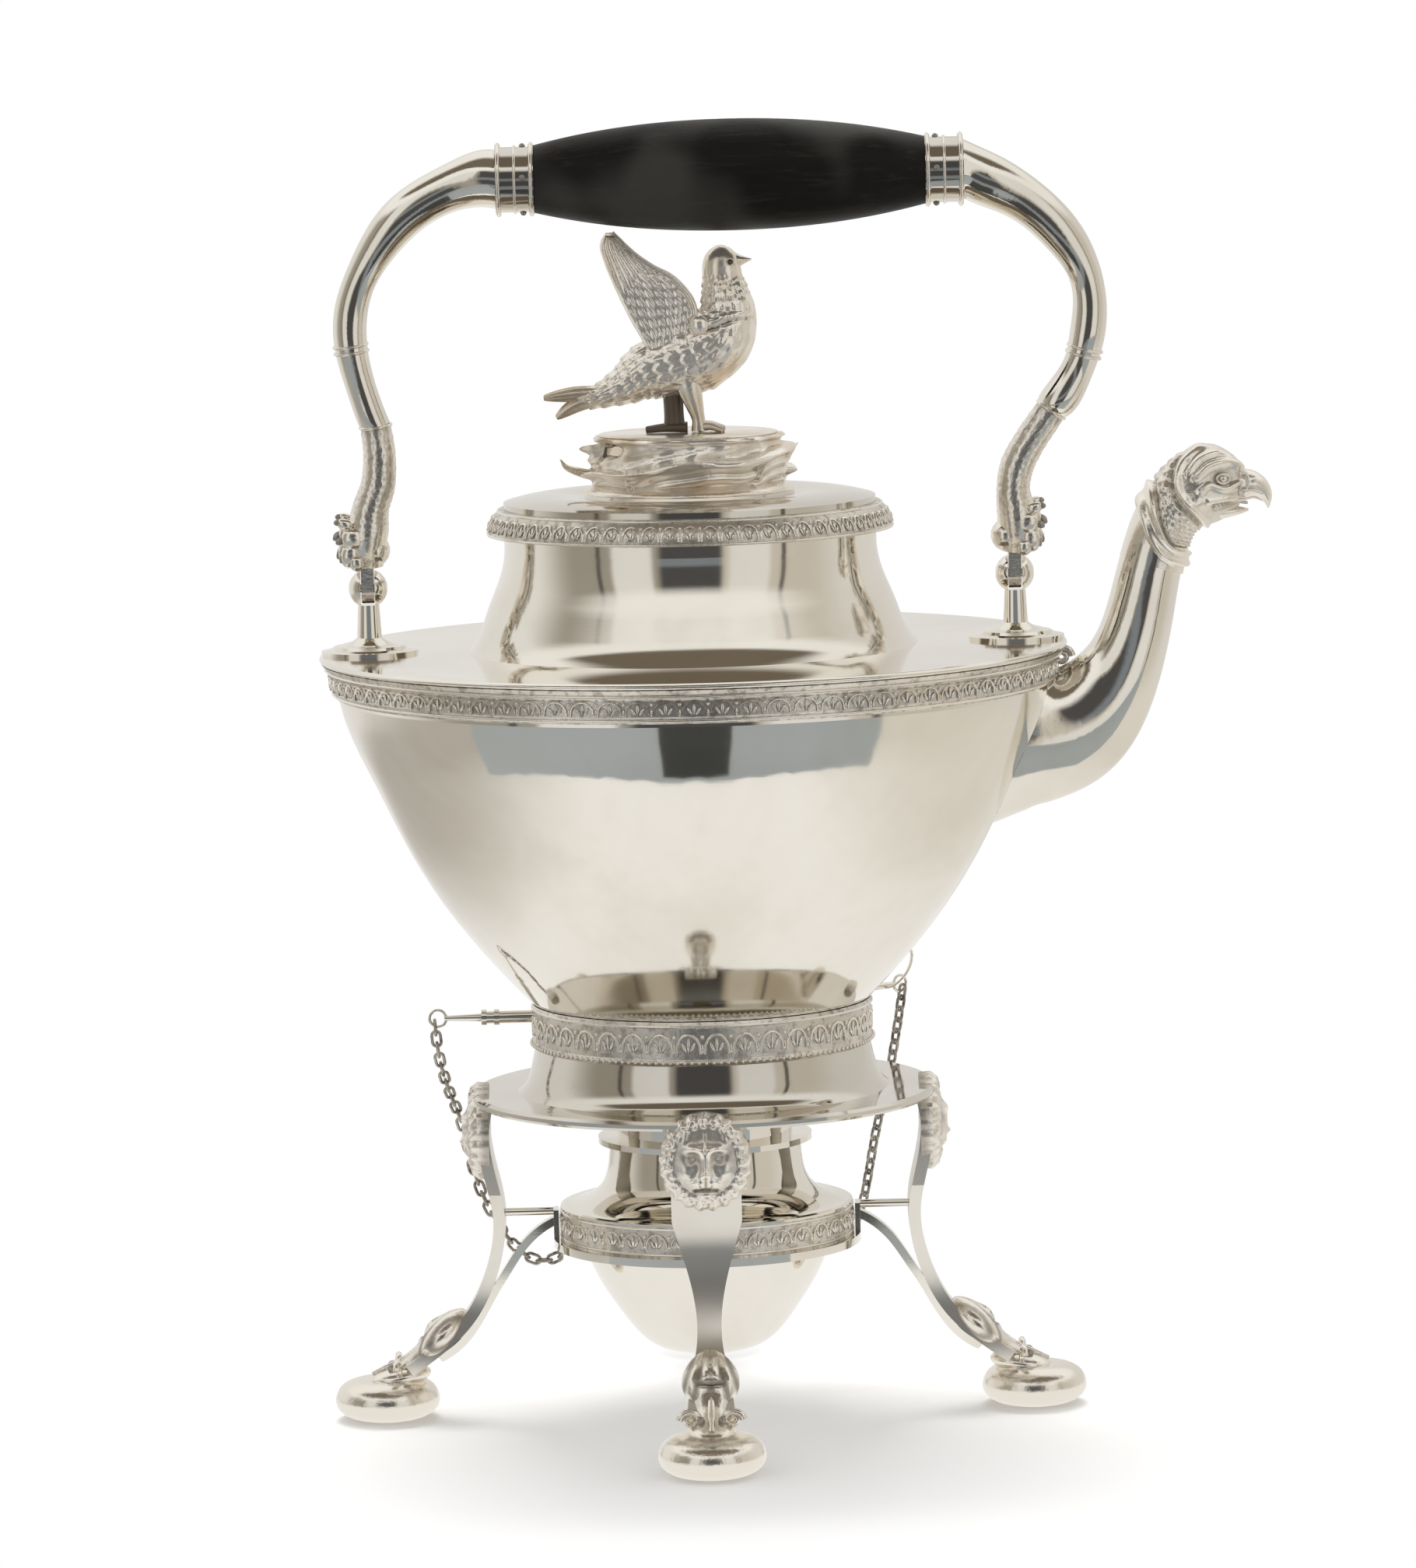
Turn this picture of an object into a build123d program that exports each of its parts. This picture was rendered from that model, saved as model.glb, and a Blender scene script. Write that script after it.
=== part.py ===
from build123d import *
import math
import os

os.makedirs("parts", exist_ok=True)

# Millimetres. Radii and X are measured from the kettle's own axis; +Z is up, +X is
# towards the spout and -Y is the front. AXIS_X moves the finished part so that the
# middle of its box stands over the origin.

# Fits and gaps
FIT = 0.05  # radial clearance of a pin in its hole
GAP = 0.3  # smallest gap between pieces that move past each other
WALL = 1.2  # sheet silver

# Feet and legs
FOOT_R = 90.0
BUN_R = 14.5
BUN_TOP = 11.0
PAD_R = 7.0
LEG_T = 3.3
LEG_HALF_W = 9.5
LEG_WAIST_Z = 31.0
LEG_WAIST_W = 3.5
BRACE_T = 2.2
BRACE_W = 4.4
ROD_R = 1.1
MASK_Z = 75.4
MASK_W = 12.35
MASK_H = 13.3
MASK_R = 67.6

# Flange and collar
FLANGE_Z = 88.8
FLANGE_T = 2.6
FLANGE_R = 64.1
COLLAR_Z = 104.0
COLLAR_TOP = 116.0
COLLAR_R = 46.8
COLLAR_IN = 45.0
LEDGE_R = 40.5

# Bowl, shoulder and neck
SEAT_R = 44.4
KETTLE_FOOT = 3.3
BOWL_BASE = COLLAR_Z + KETTLE_FOOT
BOWL_BASE_R = 38.0
BOWL_R = 97.7
BAND_BOTTOM = 203.0
BAND_T = 1.1
SHOULDER_OUT = 5.1
SHOULDER_R = BOWL_R + SHOULDER_OUT
SHOULDER_TOP = 214.0
SHOULDER_T = 1.8
SHOULDER_HOLE = 60.0
NECK_FOOT_R = 62.0
NECK_R = 51.1
NECK_H = 39.0
NECK_TOP = SHOULDER_TOP + NECK_H
NECK_WALL = 1.0
RIM_H = 7.0
RIM_BOTTOM = NECK_TOP - RIM_H
RIM_OUT = 55.8
RIM_TOP_R = 52.3
HOLE_R = 1.6
HOLE_STEP = 6.0
HOLE_REACH = 30.0

# Lid
LID_T = 2.5
BEZEL_GAP = 0.8
BEZEL_H = 6.0
BEZEL_T = 1.2
DRUM_R = 29.0
DRUM_H = 1.6
BASE_R = 27.8
BASE_H = 15.7
LID_TOP = NECK_TOP + LID_T
DRUM_TOP = LID_TOP + DRUM_H
BASE_TOP = DRUM_TOP + BASE_H
HINGE_Y = 58.5
HINGE_UP = 1.5
HINGE_Z = NECK_TOP + HINGE_UP
KNUCKLE_R = 2.6
HINGE_PIN_R = 1.0
LEAF_W = 3.9
HINGE_W = 9.0

# Handle
POST_IN = 13.9
POST_X = SHOULDER_R - POST_IN
POST_R = 13.3
BALL_UP = 18.0
BALL_Z = SHOULDER_TOP + BALL_UP
BALL_R = 5.35
STEM_R = 3.4
TONGUE_R = 4.2
TONGUE_T = 3.4
PIVOT_R = 1.2
PAW_BOTTOM = BALL_Z + BALL_R + 0.6
PAW_H = 39.05
COLLAR_LINE = PAW_BOTTOM + PAW_H
GRIP_X = 13.0
GRIP_UP = 111.9
GRIP_Z = BALL_Z + GRIP_UP
GRIP_L = 106.4
GRIP_R = 15.2
GRIP_END_R = 9.2
FERRULE_L = 10.4
FERRULE_R = 9.6
CORE_R = 2.5
ARM_END_R = 8.0
LEAN = 5.0  # the handle rests a little forward of upright

# Lamp
LAMP_SEAT = 50.0
LAMP_BAND_R = 40.5
LAMP_BAND_H = 8.5
LAMP_BOWL_R = 34.7
LAMP_BOTTOM = 18.0
LAMP_NECK_R = 26.4
BRIM_R = 29.6
BRIM_TOP = 78.2
BURNER_R = 9.0
BURNER_TOP = 81.2
CAP_R = 24.2
CAP_TOP = 84.5
CAP_T = 1.2
BUTTON_R = 3.5
BUTTON_H = 3.0
LAMP_RING_T = 2.2
LAMP_RING_IN = 35.3
LAMP_GAP = 0.7
CLIP_T = 1.4
CLIP_W = 7.0
CLIP_H = 8.0
ROD_Z = 57.3

# Locking pins and chains
PIN_DOWN = 4.0
PIN_Z = COLLAR_TOP - PIN_DOWN
LOCK_R = 1.1
GUIDE_R = 1.7
GUIDE_END = 61.0
EYE_R = 73.1
EYE_OUT = 2.7
EYE_WIRE = 0.8
PIN_TRAVEL = 1.6
RIGHT_AZ = 40.0
LINK_PITCH = 3.3
LINK_WIRE = 0.9
LINK_W = 3.3
LINK_SLACK = 0.12

# Spout
BEAK_OUT = 62.4
BEAK_REACH = BOWL_R + BEAK_OUT
SPOUT_WALL = 1.5
MOUTH_R = 3.0

AXIS_X = (FOOT_R + BUN_R - BEAK_REACH) / 2


def save(name, shape):
    export_step(Pos(AXIS_X, 0, 0) * shape, f"parts/{name}.step")


def xz(points):
    return [(x, 0, z) for x, z in points]


def moved_sideways(points, gap):
    """The same run of points, each moved gap to the left of the way it goes."""
    out = []
    for i, (x, z) in enumerate(points):
        ax, az = points[max(i - 1, 0)]
        bx, bz = points[min(i + 1, len(points) - 1)]
        length = math.hypot(bx - ax, bz - az)
        out.append((x - gap * (bz - az) / length, z + gap * (bx - ax) / length))
    return out


def outline(*runs):
    """A face in the XZ plane: a run of 2 points is straight, a longer one is curved."""
    edges = []
    for run in runs:
        if len(run) == 2:
            edges.append(Line(*xz(run)).edge())
        else:
            edges.append(Spline(*xz(run)).edge())
    joined = []
    for i, edge in enumerate(edges):
        joined.append(edge)
        nxt = edges[(i + 1) % len(edges)]
        if (edge @ 1 - nxt @ 0).length > 1e-6:
            joined.append(Line(edge @ 1, nxt @ 0).edge())
    return Face(Wire(joined))


def polygon(*points):
    return Face(Wire(Polyline(*xz(points), close=True).edges()))


def turned(face):
    return revolve(face, axis=Axis.Z)


def ring(inner, outer, bottom, top):
    return turned(polygon((inner, bottom), (outer, bottom), (outer, top), (inner, top)))


def disc(radius, bottom, top):
    return Pos(0, 0, (bottom + top) / 2) * Cylinder(radius, top - bottom)


def rod_x(radius, x0, x1, y=0.0, z=0.0):
    return Pos((x0 + x1) / 2, y, z) * Rot(0, 90, 0) * Cylinder(radius, x1 - x0)


def blob(x, y, z, a, b, c, tilt=0.0):
    """An ellipsoid with half axes a, b and c, tilted about Y."""
    ball = scale(Sphere(1), (a, b, c))
    return Pos(x, y, z) * Rot(0, tilt, 0) * ball


def oval(half_x, half_y):
    """An ellipse whose edge always starts on X, so that a loft never twists."""
    return scale(Circle(1), (half_x, half_y, 1))


def across(inner, outer, half_y):
    """An ellipse standing on the XZ plane, its long axis from inner to outer."""
    (ix, iz), (ox, oz) = inner, outer
    length = math.hypot(ox - ix, oz - iz)
    plane = Plane(
        origin=((ix + ox) / 2, 0, (iz + oz) / 2),
        x_dir=((ox - ix) / length, 0, (oz - iz) / length),
        z_dir=((iz - oz) / length, 0, (ox - ix) / length),
    )
    return plane * oval(length / 2, half_y)


def shrunk(pair, wall):
    (ix, iz), (ox, oz), half_y = pair
    length = math.hypot(ox - ix, oz - iz)
    dx, dz = (ox - ix) * wall / length, (oz - iz) * wall / length
    return (ix + dx, iz + dz), (ox - dx, oz - dz), half_y - wall


# ---------------------------------------------------------------- kettle body

# Shares of the way out and of the way up from the foot of the bowl to the band.
BOWL_SHARES = [
    (0.0, 0.0),
    (0.159, 0.102),
    (0.360, 0.242),
    (0.580, 0.428),
    (0.744, 0.614),
    (0.846, 0.752),
    (0.948, 0.890),
    (1.0, 1.0),
]
BOWL_CURVE = [
    (
        BOWL_BASE_R + out * (BOWL_R - BOWL_BASE_R),
        BOWL_BASE + up * (BAND_BOTTOM - 1 - BOWL_BASE),
    )
    for out, up in BOWL_SHARES
]
BAND_TOP = SHOULDER_TOP - SHOULDER_T


def bowl_outside():
    side = BOWL_CURVE
    return turned(
        outline(side, (side[-1], (BOWL_R, BAND_TOP)), ((0, BAND_TOP), (0, BOWL_BASE)))
    )


def bowl_inside():
    side = moved_sideways(BOWL_CURVE, WALL)
    side[0] = (BOWL_BASE_R - WALL / 2, BOWL_BASE + WALL)
    side[-1] = (BOWL_R - WALL, BAND_BOTTOM - 1)
    top = BAND_TOP + 1
    return turned(
        outline(
            side,
            (side[-1], (BOWL_R - WALL, top)),
            ((0, top), (0, BOWL_BASE + WALL)),
        )
    )


def strainer_holes():
    holes = []
    middle = (SPOUT[0][0][1] + SPOUT[0][1][1]) / 2
    for row in range(-2, 3):
        count = 3 - abs(row) % 2
        for k in range(count):
            y = (k - (count - 1) / 2) * HOLE_STEP
            z = middle + row * HOLE_STEP * math.sin(math.pi / 3)
            holes.append(rod_x(HOLE_R, BOWL_R - HOLE_REACH, SHOULDER_R, y, z))
    return holes


def shoulder_band():
    face = polygon(
        (BOWL_R, BAND_BOTTOM),
        (BOWL_R + BAND_T, BAND_BOTTOM),
        (BOWL_R + 2 * BAND_T, BAND_BOTTOM + 2.0),
        (BOWL_R + 2 * BAND_T + 0.2, BAND_TOP - 3.0),
        (SHOULDER_R - 0.4, BAND_TOP),
        (BOWL_R, BAND_TOP),
    )
    return turned(face)


def shoulder_plate():
    rim = SHOULDER_T * 0.5
    face = outline(
        ((SHOULDER_HOLE, BAND_TOP), (SHOULDER_R - rim, BAND_TOP)),
        [
            (SHOULDER_R - rim, BAND_TOP),
            (SHOULDER_R, BAND_TOP + rim),
            (SHOULDER_R - rim, SHOULDER_TOP),
        ],
        ((SHOULDER_R - rim, SHOULDER_TOP), (SHOULDER_HOLE, SHOULDER_TOP)),
    )
    return turned(face)


def neck():
    side = [
        (NECK_FOOT_R, SHOULDER_TOP),
        (58.7, SHOULDER_TOP + 4.6),
        (55.9, SHOULDER_TOP + 12.0),
        (53.0, SHOULDER_TOP + 19.0),
        (NECK_R, RIM_BOTTOM - 3.5),
    ]
    inner = moved_sideways(side, NECK_WALL)
    inner[0] = (NECK_FOOT_R - NECK_WALL, SHOULDER_TOP)
    inner[-1] = (NECK_R - NECK_WALL, RIM_BOTTOM - 3.5)
    return turned(
        outline(
            side,
            (side[-1], (NECK_R, NECK_TOP)),
            ((NECK_R - NECK_WALL, NECK_TOP), inner[-1]),
            inner[::-1],
        )
    )


def neck_rim():
    height = NECK_TOP - RIM_BOTTOM
    face = outline(
        ((NECK_R, RIM_BOTTOM), (RIM_OUT, RIM_BOTTOM)),
        [
            (RIM_OUT, RIM_BOTTOM),
            (RIM_OUT - 0.8, RIM_BOTTOM + height * 0.45),
            (RIM_TOP_R, NECK_TOP),
        ],
        ((RIM_TOP_R, NECK_TOP), (NECK_R, NECK_TOP)),
    )
    return turned(face)


def foot_ring():
    """The rim the kettle stands on, inside the collar of the stand."""
    blank = ring(SEAT_R - 2.4, SEAT_R, COLLAR_Z, BOWL_BASE + 9)
    return blank - bowl_outside()


# ---------------------------------------------------------------- spout

# The two edges of the spout seen from the side, root first, and half its width.
# The first number of each point is measured out from the widest line of the bowl.
SPOUT = [
    ((-4.7, 206.5), (-17.7, 162.5), 15.0),
    ((0.9, 205.6), (-0.7, 168.3), 13.6),
    ((5.7, 207.0), (11.9, 173.4), 12.0),
    ((9.9, 210.2), (21.1, 181.6), 10.8),
    ((13.1, 214.4), (26.9, 191.5), 10.0),
    ((15.6, 220.0), (30.7, 202.0), 9.4),
    ((17.7, 226.8), (33.8, 214.6), 9.0),
    ((19.7, 234.0), (36.1, 227.0), 8.9),
    ((21.9, 241.5), (39.1, 237.6), 8.9),
]
# The eagle's head from the end of the tube to the brow, in the same way.
HEAD = [
    SPOUT[-1],
    ((23.5, 246.4), (40.7, 239.4), 9.9),
    ((26.7, 252.6), (42.3, 242.4), 9.8),
    ((31.9, 258.8), (44.9, 243.8), 9.6),
    ((38.9, 263.6), (48.3, 245.0), 9.0),
    ((46.7, 265.2), (51.3, 246.6), 7.6),
    ((53.3, 261.0), (53.7, 249.0), 5.4),
]
BEAK = [
    ((52.7, 260.4), (52.9, 249.2), 4.6),
    ((57.1, 256.8), (56.3, 249.4), 3.8),
    ((60.7, 254.0), (58.7, 249.4), 2.8),
    ((BEAK_OUT, 250.8), (59.9, 248.8), 1.8),
    ((BEAK_OUT - 0.4, 246.6), (60.9, 246.2), 0.6),
]
JAW = [
    ((45.3, 249.6), (45.7, 243.8), 5.6),
    ((50.3, 247.4), (50.5, 244.4), 4.2),
    ((55.1, 246.4), (55.1, 245.3), 2.0),
]
MOUTH_PATH = [(29.9, 233.0), (34.3, 246.0), (44.3, 250.4), (60.3, 247.2)]


def spout_outside():
    return Pos(BOWL_R, 0, 0) * loft([across(*pair) for pair in SPOUT])


def spout_hollow():
    """The way through, run on a little past both ends of the tube."""
    before = ((-10.7, 206.0), (-27.7, 160.0), SPOUT[0][2])
    after = ((23.7, 248.4), (40.3, 247.2), SPOUT[-1][2])
    pairs = [before, *SPOUT[::2], after]
    return Pos(BOWL_R, 0, 0) * loft([across(*shrunk(pair, SPOUT_WALL)) for pair in pairs])


def spout_tube():
    return spout_outside() - spout_hollow() - bowl_outside()


def spout_head():
    head = loft([across(*pair) for pair in HEAD])
    head += loft([across(*pair) for pair in BEAK])
    head += loft([across(*pair) for pair in JAW])
    for side in (-1, 1):
        head += blob(48.5, side * 6.2, 259.4, 5.0, 2.6, 2.2, 12)
    path = Spline(*xz(MOUTH_PATH)).edge()
    mouth = sweep(Plane(origin=path @ 0, z_dir=path % 0) * Circle(MOUTH_R), path=path)
    return Pos(BOWL_R, 0, 0) * (head - mouth)


# ---------------------------------------------------------------- lid


def lid_plate():
    face = outline(
        ((0, NECK_TOP), (NECK_R, NECK_TOP)),
        ((NECK_R, NECK_TOP), (NECK_R, LID_TOP - 0.8)),
        [
            (NECK_R, LID_TOP - 0.8),
            (NECK_R - 3.0, LID_TOP),
            (DRUM_R, LID_TOP + 0.4),
        ],
        ((DRUM_R, LID_TOP + 0.4), (DRUM_R - 0.5, DRUM_TOP)),
        ((0, DRUM_TOP), (0, NECK_TOP)),
    )
    return turned(face)


def lid_bezel():
    outer = NECK_R - NECK_WALL - BEZEL_GAP
    return ring(outer - BEZEL_T, outer, NECK_TOP - BEZEL_H, NECK_TOP)


def dove_base():
    rise = BASE_TOP - DRUM_TOP
    face = outline(
        ((0, DRUM_TOP), (DRUM_R - 2.5, DRUM_TOP)),
        [
            (DRUM_R - 2.5, DRUM_TOP),
            (DRUM_R - 0.2, DRUM_TOP + rise * 0.3),
            (BASE_R + 0.4, DRUM_TOP + rise * 0.62),
            (BASE_R, BASE_TOP),
        ],
        ((BASE_R, BASE_TOP), (0, BASE_TOP)),
    )
    base = turned(face)
    tip = (-35.2, 8.5)
    left_leaf = polygon((-22.0, 1.5), (-30.4, 2.9), tip, (-31.0, 6.3), (-24.0, 7.9))
    tip = (30.2, 11.8)
    right_leaf = polygon((22.0, 2.9), (28.6, 3.3), tip, (28.0, 13.1), (22.0, 10.9))
    leaves = extrude(left_leaf, 9.0, both=True) + extrude(right_leaf, 8.0, both=True)
    return base + Pos(0, 0, DRUM_TOP) * leaves


# The dove seen from the side: centre and half height across the body, half width.
# All its heights are measured up from the top of its base.
DOVE_BODY = [
    (-12.5, 16.0, 3.0, 5.0),
    (-6.0, 18.4, 5.6, 6.4),
    (1.0, 20.2, 8.2, 7.6),
    (8.5, 24.4, 9.6, 7.8),
    (12.2, 31.2, 7.6, 6.4),
    (11.0, 38.4, 4.9, 5.0),
    (11.2, 41.2, 4.9, 4.8),
]
WING = [
    (2.6, 30.8),
    (1.4, 38.2),
    (-6.8, 45.6),
    (-19.6, 55.6),
    (-21.6, 52.6),
    (-16.8, 34.2),
    (-12.0, 22.8),
]
TAIL = [
    (-9.0, 19.2),
    (-27.7, 12.8),
    (-39.6, 10.6),
    (-39.0, 8.8),
    (-35.8, 4.2),
    (-30.0, 7.6),
    (-9.0, 9.6),
]
TAIL_HALF_W = 4.6
LEG_SIDE = 3.2
LEG_H = 13.2
BIRD_ROOM = 30.0
WING_IN = 1.6
WING_OUT = 4.4


def dove():
    heading = [(1.0, 0.1), (1.0, 0.2), (0.95, 0.35), (0.7, 0.7), (0.1, 1.0), (-0.05, 1.0)]
    heading += [(0.05, 1.0)]
    sections = []
    for (x, z, height, width), (dx, dz) in zip(DOVE_BODY, heading):
        plane = Plane(origin=(x, 0, z), x_dir=(0, 1, 0), z_dir=(dx, 0, dz))
        sections.append(plane * oval(width, height))
    bird = loft(sections)
    bird += Pos(11.6, 0, 44.4) * Sphere(5.9)
    bird += Pos(16.0, 0, 45.8) * Rot(0, 96, 0) * Cone(2.4, 0.4, 7.4)
    bird += extrude(polygon(*TAIL), TAIL_HALF_W, both=True)
    bird += blob(-8.0, 0, 15.6, 9.0, 5.2, 4.6, -12)
    for side in (-1, 1):
        bird += Pos(1.0, side * LEG_SIDE, LEG_H / 2) * Cylinder(1.7, LEG_H)
        for toe in (-1, 0, 1):
            claw = blob(0, 0, 0, 4.0, 0.9, 1.0)
            bird += Pos(4.4, side * LEG_SIDE + toe, 0.6) * Rot(0, 0, 18 * toe) * claw
        bird += blob(-2.6, side * LEG_SIDE, 0.6, 3.4, 0.9, 1.0)
    above = Pos(0, 0, BIRD_ROOM) * Box(4 * BIRD_ROOM, 2 * BIRD_ROOM, 2 * BIRD_ROOM)
    return Pos(0, 0, BASE_TOP) * (bird & above)


def wing(side):
    face = polygon(*WING)
    middle = side * (WING_IN + WING_OUT) / 2
    return Pos(0, middle, BASE_TOP) * extrude(face, (WING_OUT - WING_IN) / 2, both=True)


def hinge_bar(radius, x0, x1):
    return rod_x(radius, x0, x1, HINGE_Y, HINGE_Z)


def lid_hinge_fixed():
    front = math.sqrt(NECK_R**2 - HINGE_W**2) - 2
    back = HINGE_Y + KNUCKLE_R
    shelf_top = NECK_TOP - 0.8
    shelf = Pos(0, (front + back) / 2, (RIM_BOTTOM + 1 + shelf_top) / 2) * Box(
        2 * HINGE_W, back - front, shelf_top - RIM_BOTTOM - 1
    )
    cheeks = Pos(0, HINGE_Y, (RIM_BOTTOM + 1 + HINGE_Z) / 2) * Box(
        2 * HINGE_W, 2 * KNUCKLE_R, HINGE_Z - RIM_BOTTOM - 1
    )
    piece = shelf + cheeks + hinge_bar(KNUCKLE_R, -HINGE_W, HINGE_W)
    room = LEAF_W + GAP
    piece -= hinge_bar(KNUCKLE_R + GAP, -room, room)
    piece -= Pos(0, HINGE_Y, HINGE_Z + KNUCKLE_R) * Box(2 * room, 3 * KNUCKLE_R, 2 * KNUCKLE_R)
    piece -= hinge_bar(HINGE_PIN_R, -HINGE_W, HINGE_W)
    return piece - disc(NECK_R, SHOULDER_TOP, LID_TOP) - neck_rim()


def lid_hinge_leaf():
    leaf = Pos(0, (NECK_R + HINGE_Y) / 2 - 3, (NECK_TOP + LID_TOP) / 2 + 0.15) * Box(
        2 * LEAF_W, HINGE_Y - NECK_R + 6, LID_T - 0.3
    )
    leaf += hinge_bar(KNUCKLE_R, -LEAF_W, LEAF_W)
    leaf -= hinge_bar(HINGE_PIN_R + FIT, -LEAF_W, LEAF_W)
    return leaf - disc(NECK_R, NECK_TOP - 1, LID_TOP + 1)


# ---------------------------------------------------------------- handle

LEFT_END = GRIP_X - GRIP_L / 2 - FERRULE_L
RIGHT_END = GRIP_X + GRIP_L / 2 + FERRULE_L
# Centre line of each arm and its radius, from the grip down to the collar line.
ARM_LEFT = [
    (LEFT_END - 8.7, GRIP_Z - 0.6, 7.0),
    (LEFT_END - 17.6, GRIP_Z - 4.2, 6.15),
    (LEFT_END - 24.7, GRIP_Z - 8.8, 6.0),
    (LEFT_END - 30.8, GRIP_Z - 15.2, 5.5),
    (LEFT_END - 36.3, GRIP_Z - 23.7, 4.6),
    (-POST_X - 1.4, COLLAR_LINE + 35.1, 4.5),
    (-POST_X - 2.7, COLLAR_LINE + 25.6, 4.6),
    (-POST_X - 1.7, COLLAR_LINE + 17.1, 4.3),
    (-POST_X + 0.5, COLLAR_LINE + 8.6, 4.1),
]
ARM_RIGHT = [
    (RIGHT_END + 6.3, GRIP_Z - 3, 7.3),
    (RIGHT_END + 14.7, GRIP_Z - 7.5, 6.5),
    (RIGHT_END + 22, GRIP_Z - 13.3, 6.0),
    (RIGHT_END + 28, GRIP_Z - 20.3, 5.5),
    (RIGHT_END + 32.4, GRIP_Z - 28.4, 4.6),
    (POST_X + 21.7, COLLAR_LINE + 29.6, 4.6),
    (POST_X + 20.7, COLLAR_LINE + 19.6, 4.8),
    (POST_X + 17.3, COLLAR_LINE + 9.6, 4.6),
]
# Where each paw is cut level, how wide it is, and how deep.
PAW_LEFT = [
    (-POST_X + 3.5, COLLAR_LINE, 4.1, 4.2),
    (-POST_X + 5.1, PAW_BOTTOM + 31.05, 4.4, 4.6),
    (-POST_X + 5.1, PAW_BOTTOM + 23.05, 5.0, 5.4),
    (-POST_X + 2.7, PAW_BOTTOM + 16.05, 7.2, 6.6),
    (-POST_X + 0.7, PAW_BOTTOM + 10.05, 6.9, 6.8),
    (-POST_X - 0.5, PAW_BOTTOM + 4.55, 5.9, 6.2),
    (-POST_X - 0.5, PAW_BOTTOM, 4.6, 4.8),
]
PAW_RIGHT = [
    (POST_X + 10.7, COLLAR_LINE, 4.2, 4.2),
    (POST_X + 5.5, PAW_BOTTOM + 31.05, 4.5, 4.6),
    (POST_X + 1.7, PAW_BOTTOM + 23.05, 5.0, 5.4),
    (POST_X + 1.9, PAW_BOTTOM + 16.05, 7.0, 6.6),
    (POST_X + 1.5, PAW_BOTTOM + 10.05, 6.5, 6.8),
    (POST_X + 1.1, PAW_BOTTOM + 4.55, 5.8, 6.2),
    (POST_X + 0.7, PAW_BOTTOM, 4.6, 4.8),
]


def leaned(shape):
    return Pos(0, 0, BALL_Z) * Rot(LEAN, 0, 0) * Pos(0, 0, -BALL_Z) * shape


def across_line(x, z, dx, dz, radius, depth):
    plane = Plane(origin=(x, 0, z), x_dir=(0, 1, 0), z_dir=(dx, 0, dz))
    return plane * oval(depth, radius)


def arm(line, paw_line, side):
    grip_end = RIGHT_END if side > 0 else LEFT_END
    stations = [(grip_end, GRIP_Z + 0.2, ARM_END_R)] + line
    sections = [across_line(grip_end, GRIP_Z + 0.2, side, 0, ARM_END_R, ARM_END_R)]
    after = stations[2:] + [paw_line[0][:3]]
    for (ax, az, _), (x, z, radius), (bx, bz, _) in zip(stations, line, after):
        sections.append(across_line(x, z, bx - ax, bz - az, radius, radius))
    sections.append(collar_line(line, paw_line))
    return loft(sections)


def collar_line(line, paw_line):
    """The cut between the plain arm and the lion's paw, square to the arm."""
    x, z, radius, depth = paw_line[0]
    return across_line(x, z, paw_line[1][0] - line[-1][0], paw_line[1][1] - line[-1][1], radius, depth)


def paw(line, arm_line, side):
    sections = [collar_line(arm_line, line)]
    for (ax, az, _, _), (x, z, radius, depth), (bx, bz, _, _) in zip(line, line[1:], line[2:]):
        sections.append(across_line(x, z, bx - ax, bz - az, radius, depth))
    x, z, radius, depth = line[-1]
    sections.append(across_line(x, z, 0, -1, radius, depth))
    foot = loft(sections)
    middle = side * POST_X
    tongue = rod_x(TONGUE_R, middle - TONGUE_T / 2, middle + TONGUE_T / 2, 0, BALL_Z)
    tongue += Pos(middle, 0, (BALL_Z + PAW_BOTTOM + 1) / 2) * Box(
        TONGUE_T, 2 * TONGUE_R, PAW_BOTTOM + 1 - BALL_Z
    )
    hole = rod_x(PIVOT_R + FIT, middle - BALL_R, middle + BALL_R, 0, BALL_Z)
    return foot + tongue - hole


def grip():
    half = GRIP_L / 2
    curve = [(-half, GRIP_END_R), (-half * 0.5, GRIP_R - 1.35), (0, GRIP_R)]
    curve += [(half * 0.5, GRIP_R - 1.35), (half, GRIP_END_R)]
    face = outline(
        [(x, z) for x, z in curve],
        ((half, GRIP_END_R), (half, CORE_R)),
        ((half, CORE_R), (-half, CORE_R)),
    )
    return Pos(GRIP_X, 0, GRIP_Z) * revolve(face, axis=Axis.X)


def ferrule(side):
    inner = GRIP_X + side * GRIP_L / 2
    outer = inner + side * FERRULE_L
    low, high = sorted((inner, outer))
    shell = rod_x(FERRULE_R, low, high, 0, GRIP_Z)
    bead = FERRULE_R - 0.7
    shell -= rod_x(FERRULE_R + 1, low + 1.4, high - 1.4, 0, GRIP_Z) - rod_x(bead, low, high, 0, GRIP_Z)
    return shell - rod_x(CORE_R, low, high, 0, GRIP_Z)


def grip_core():
    half = GRIP_L / 2 + FERRULE_L
    return rod_x(CORE_R, GRIP_X - half, GRIP_X + half, 0, GRIP_Z)


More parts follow.
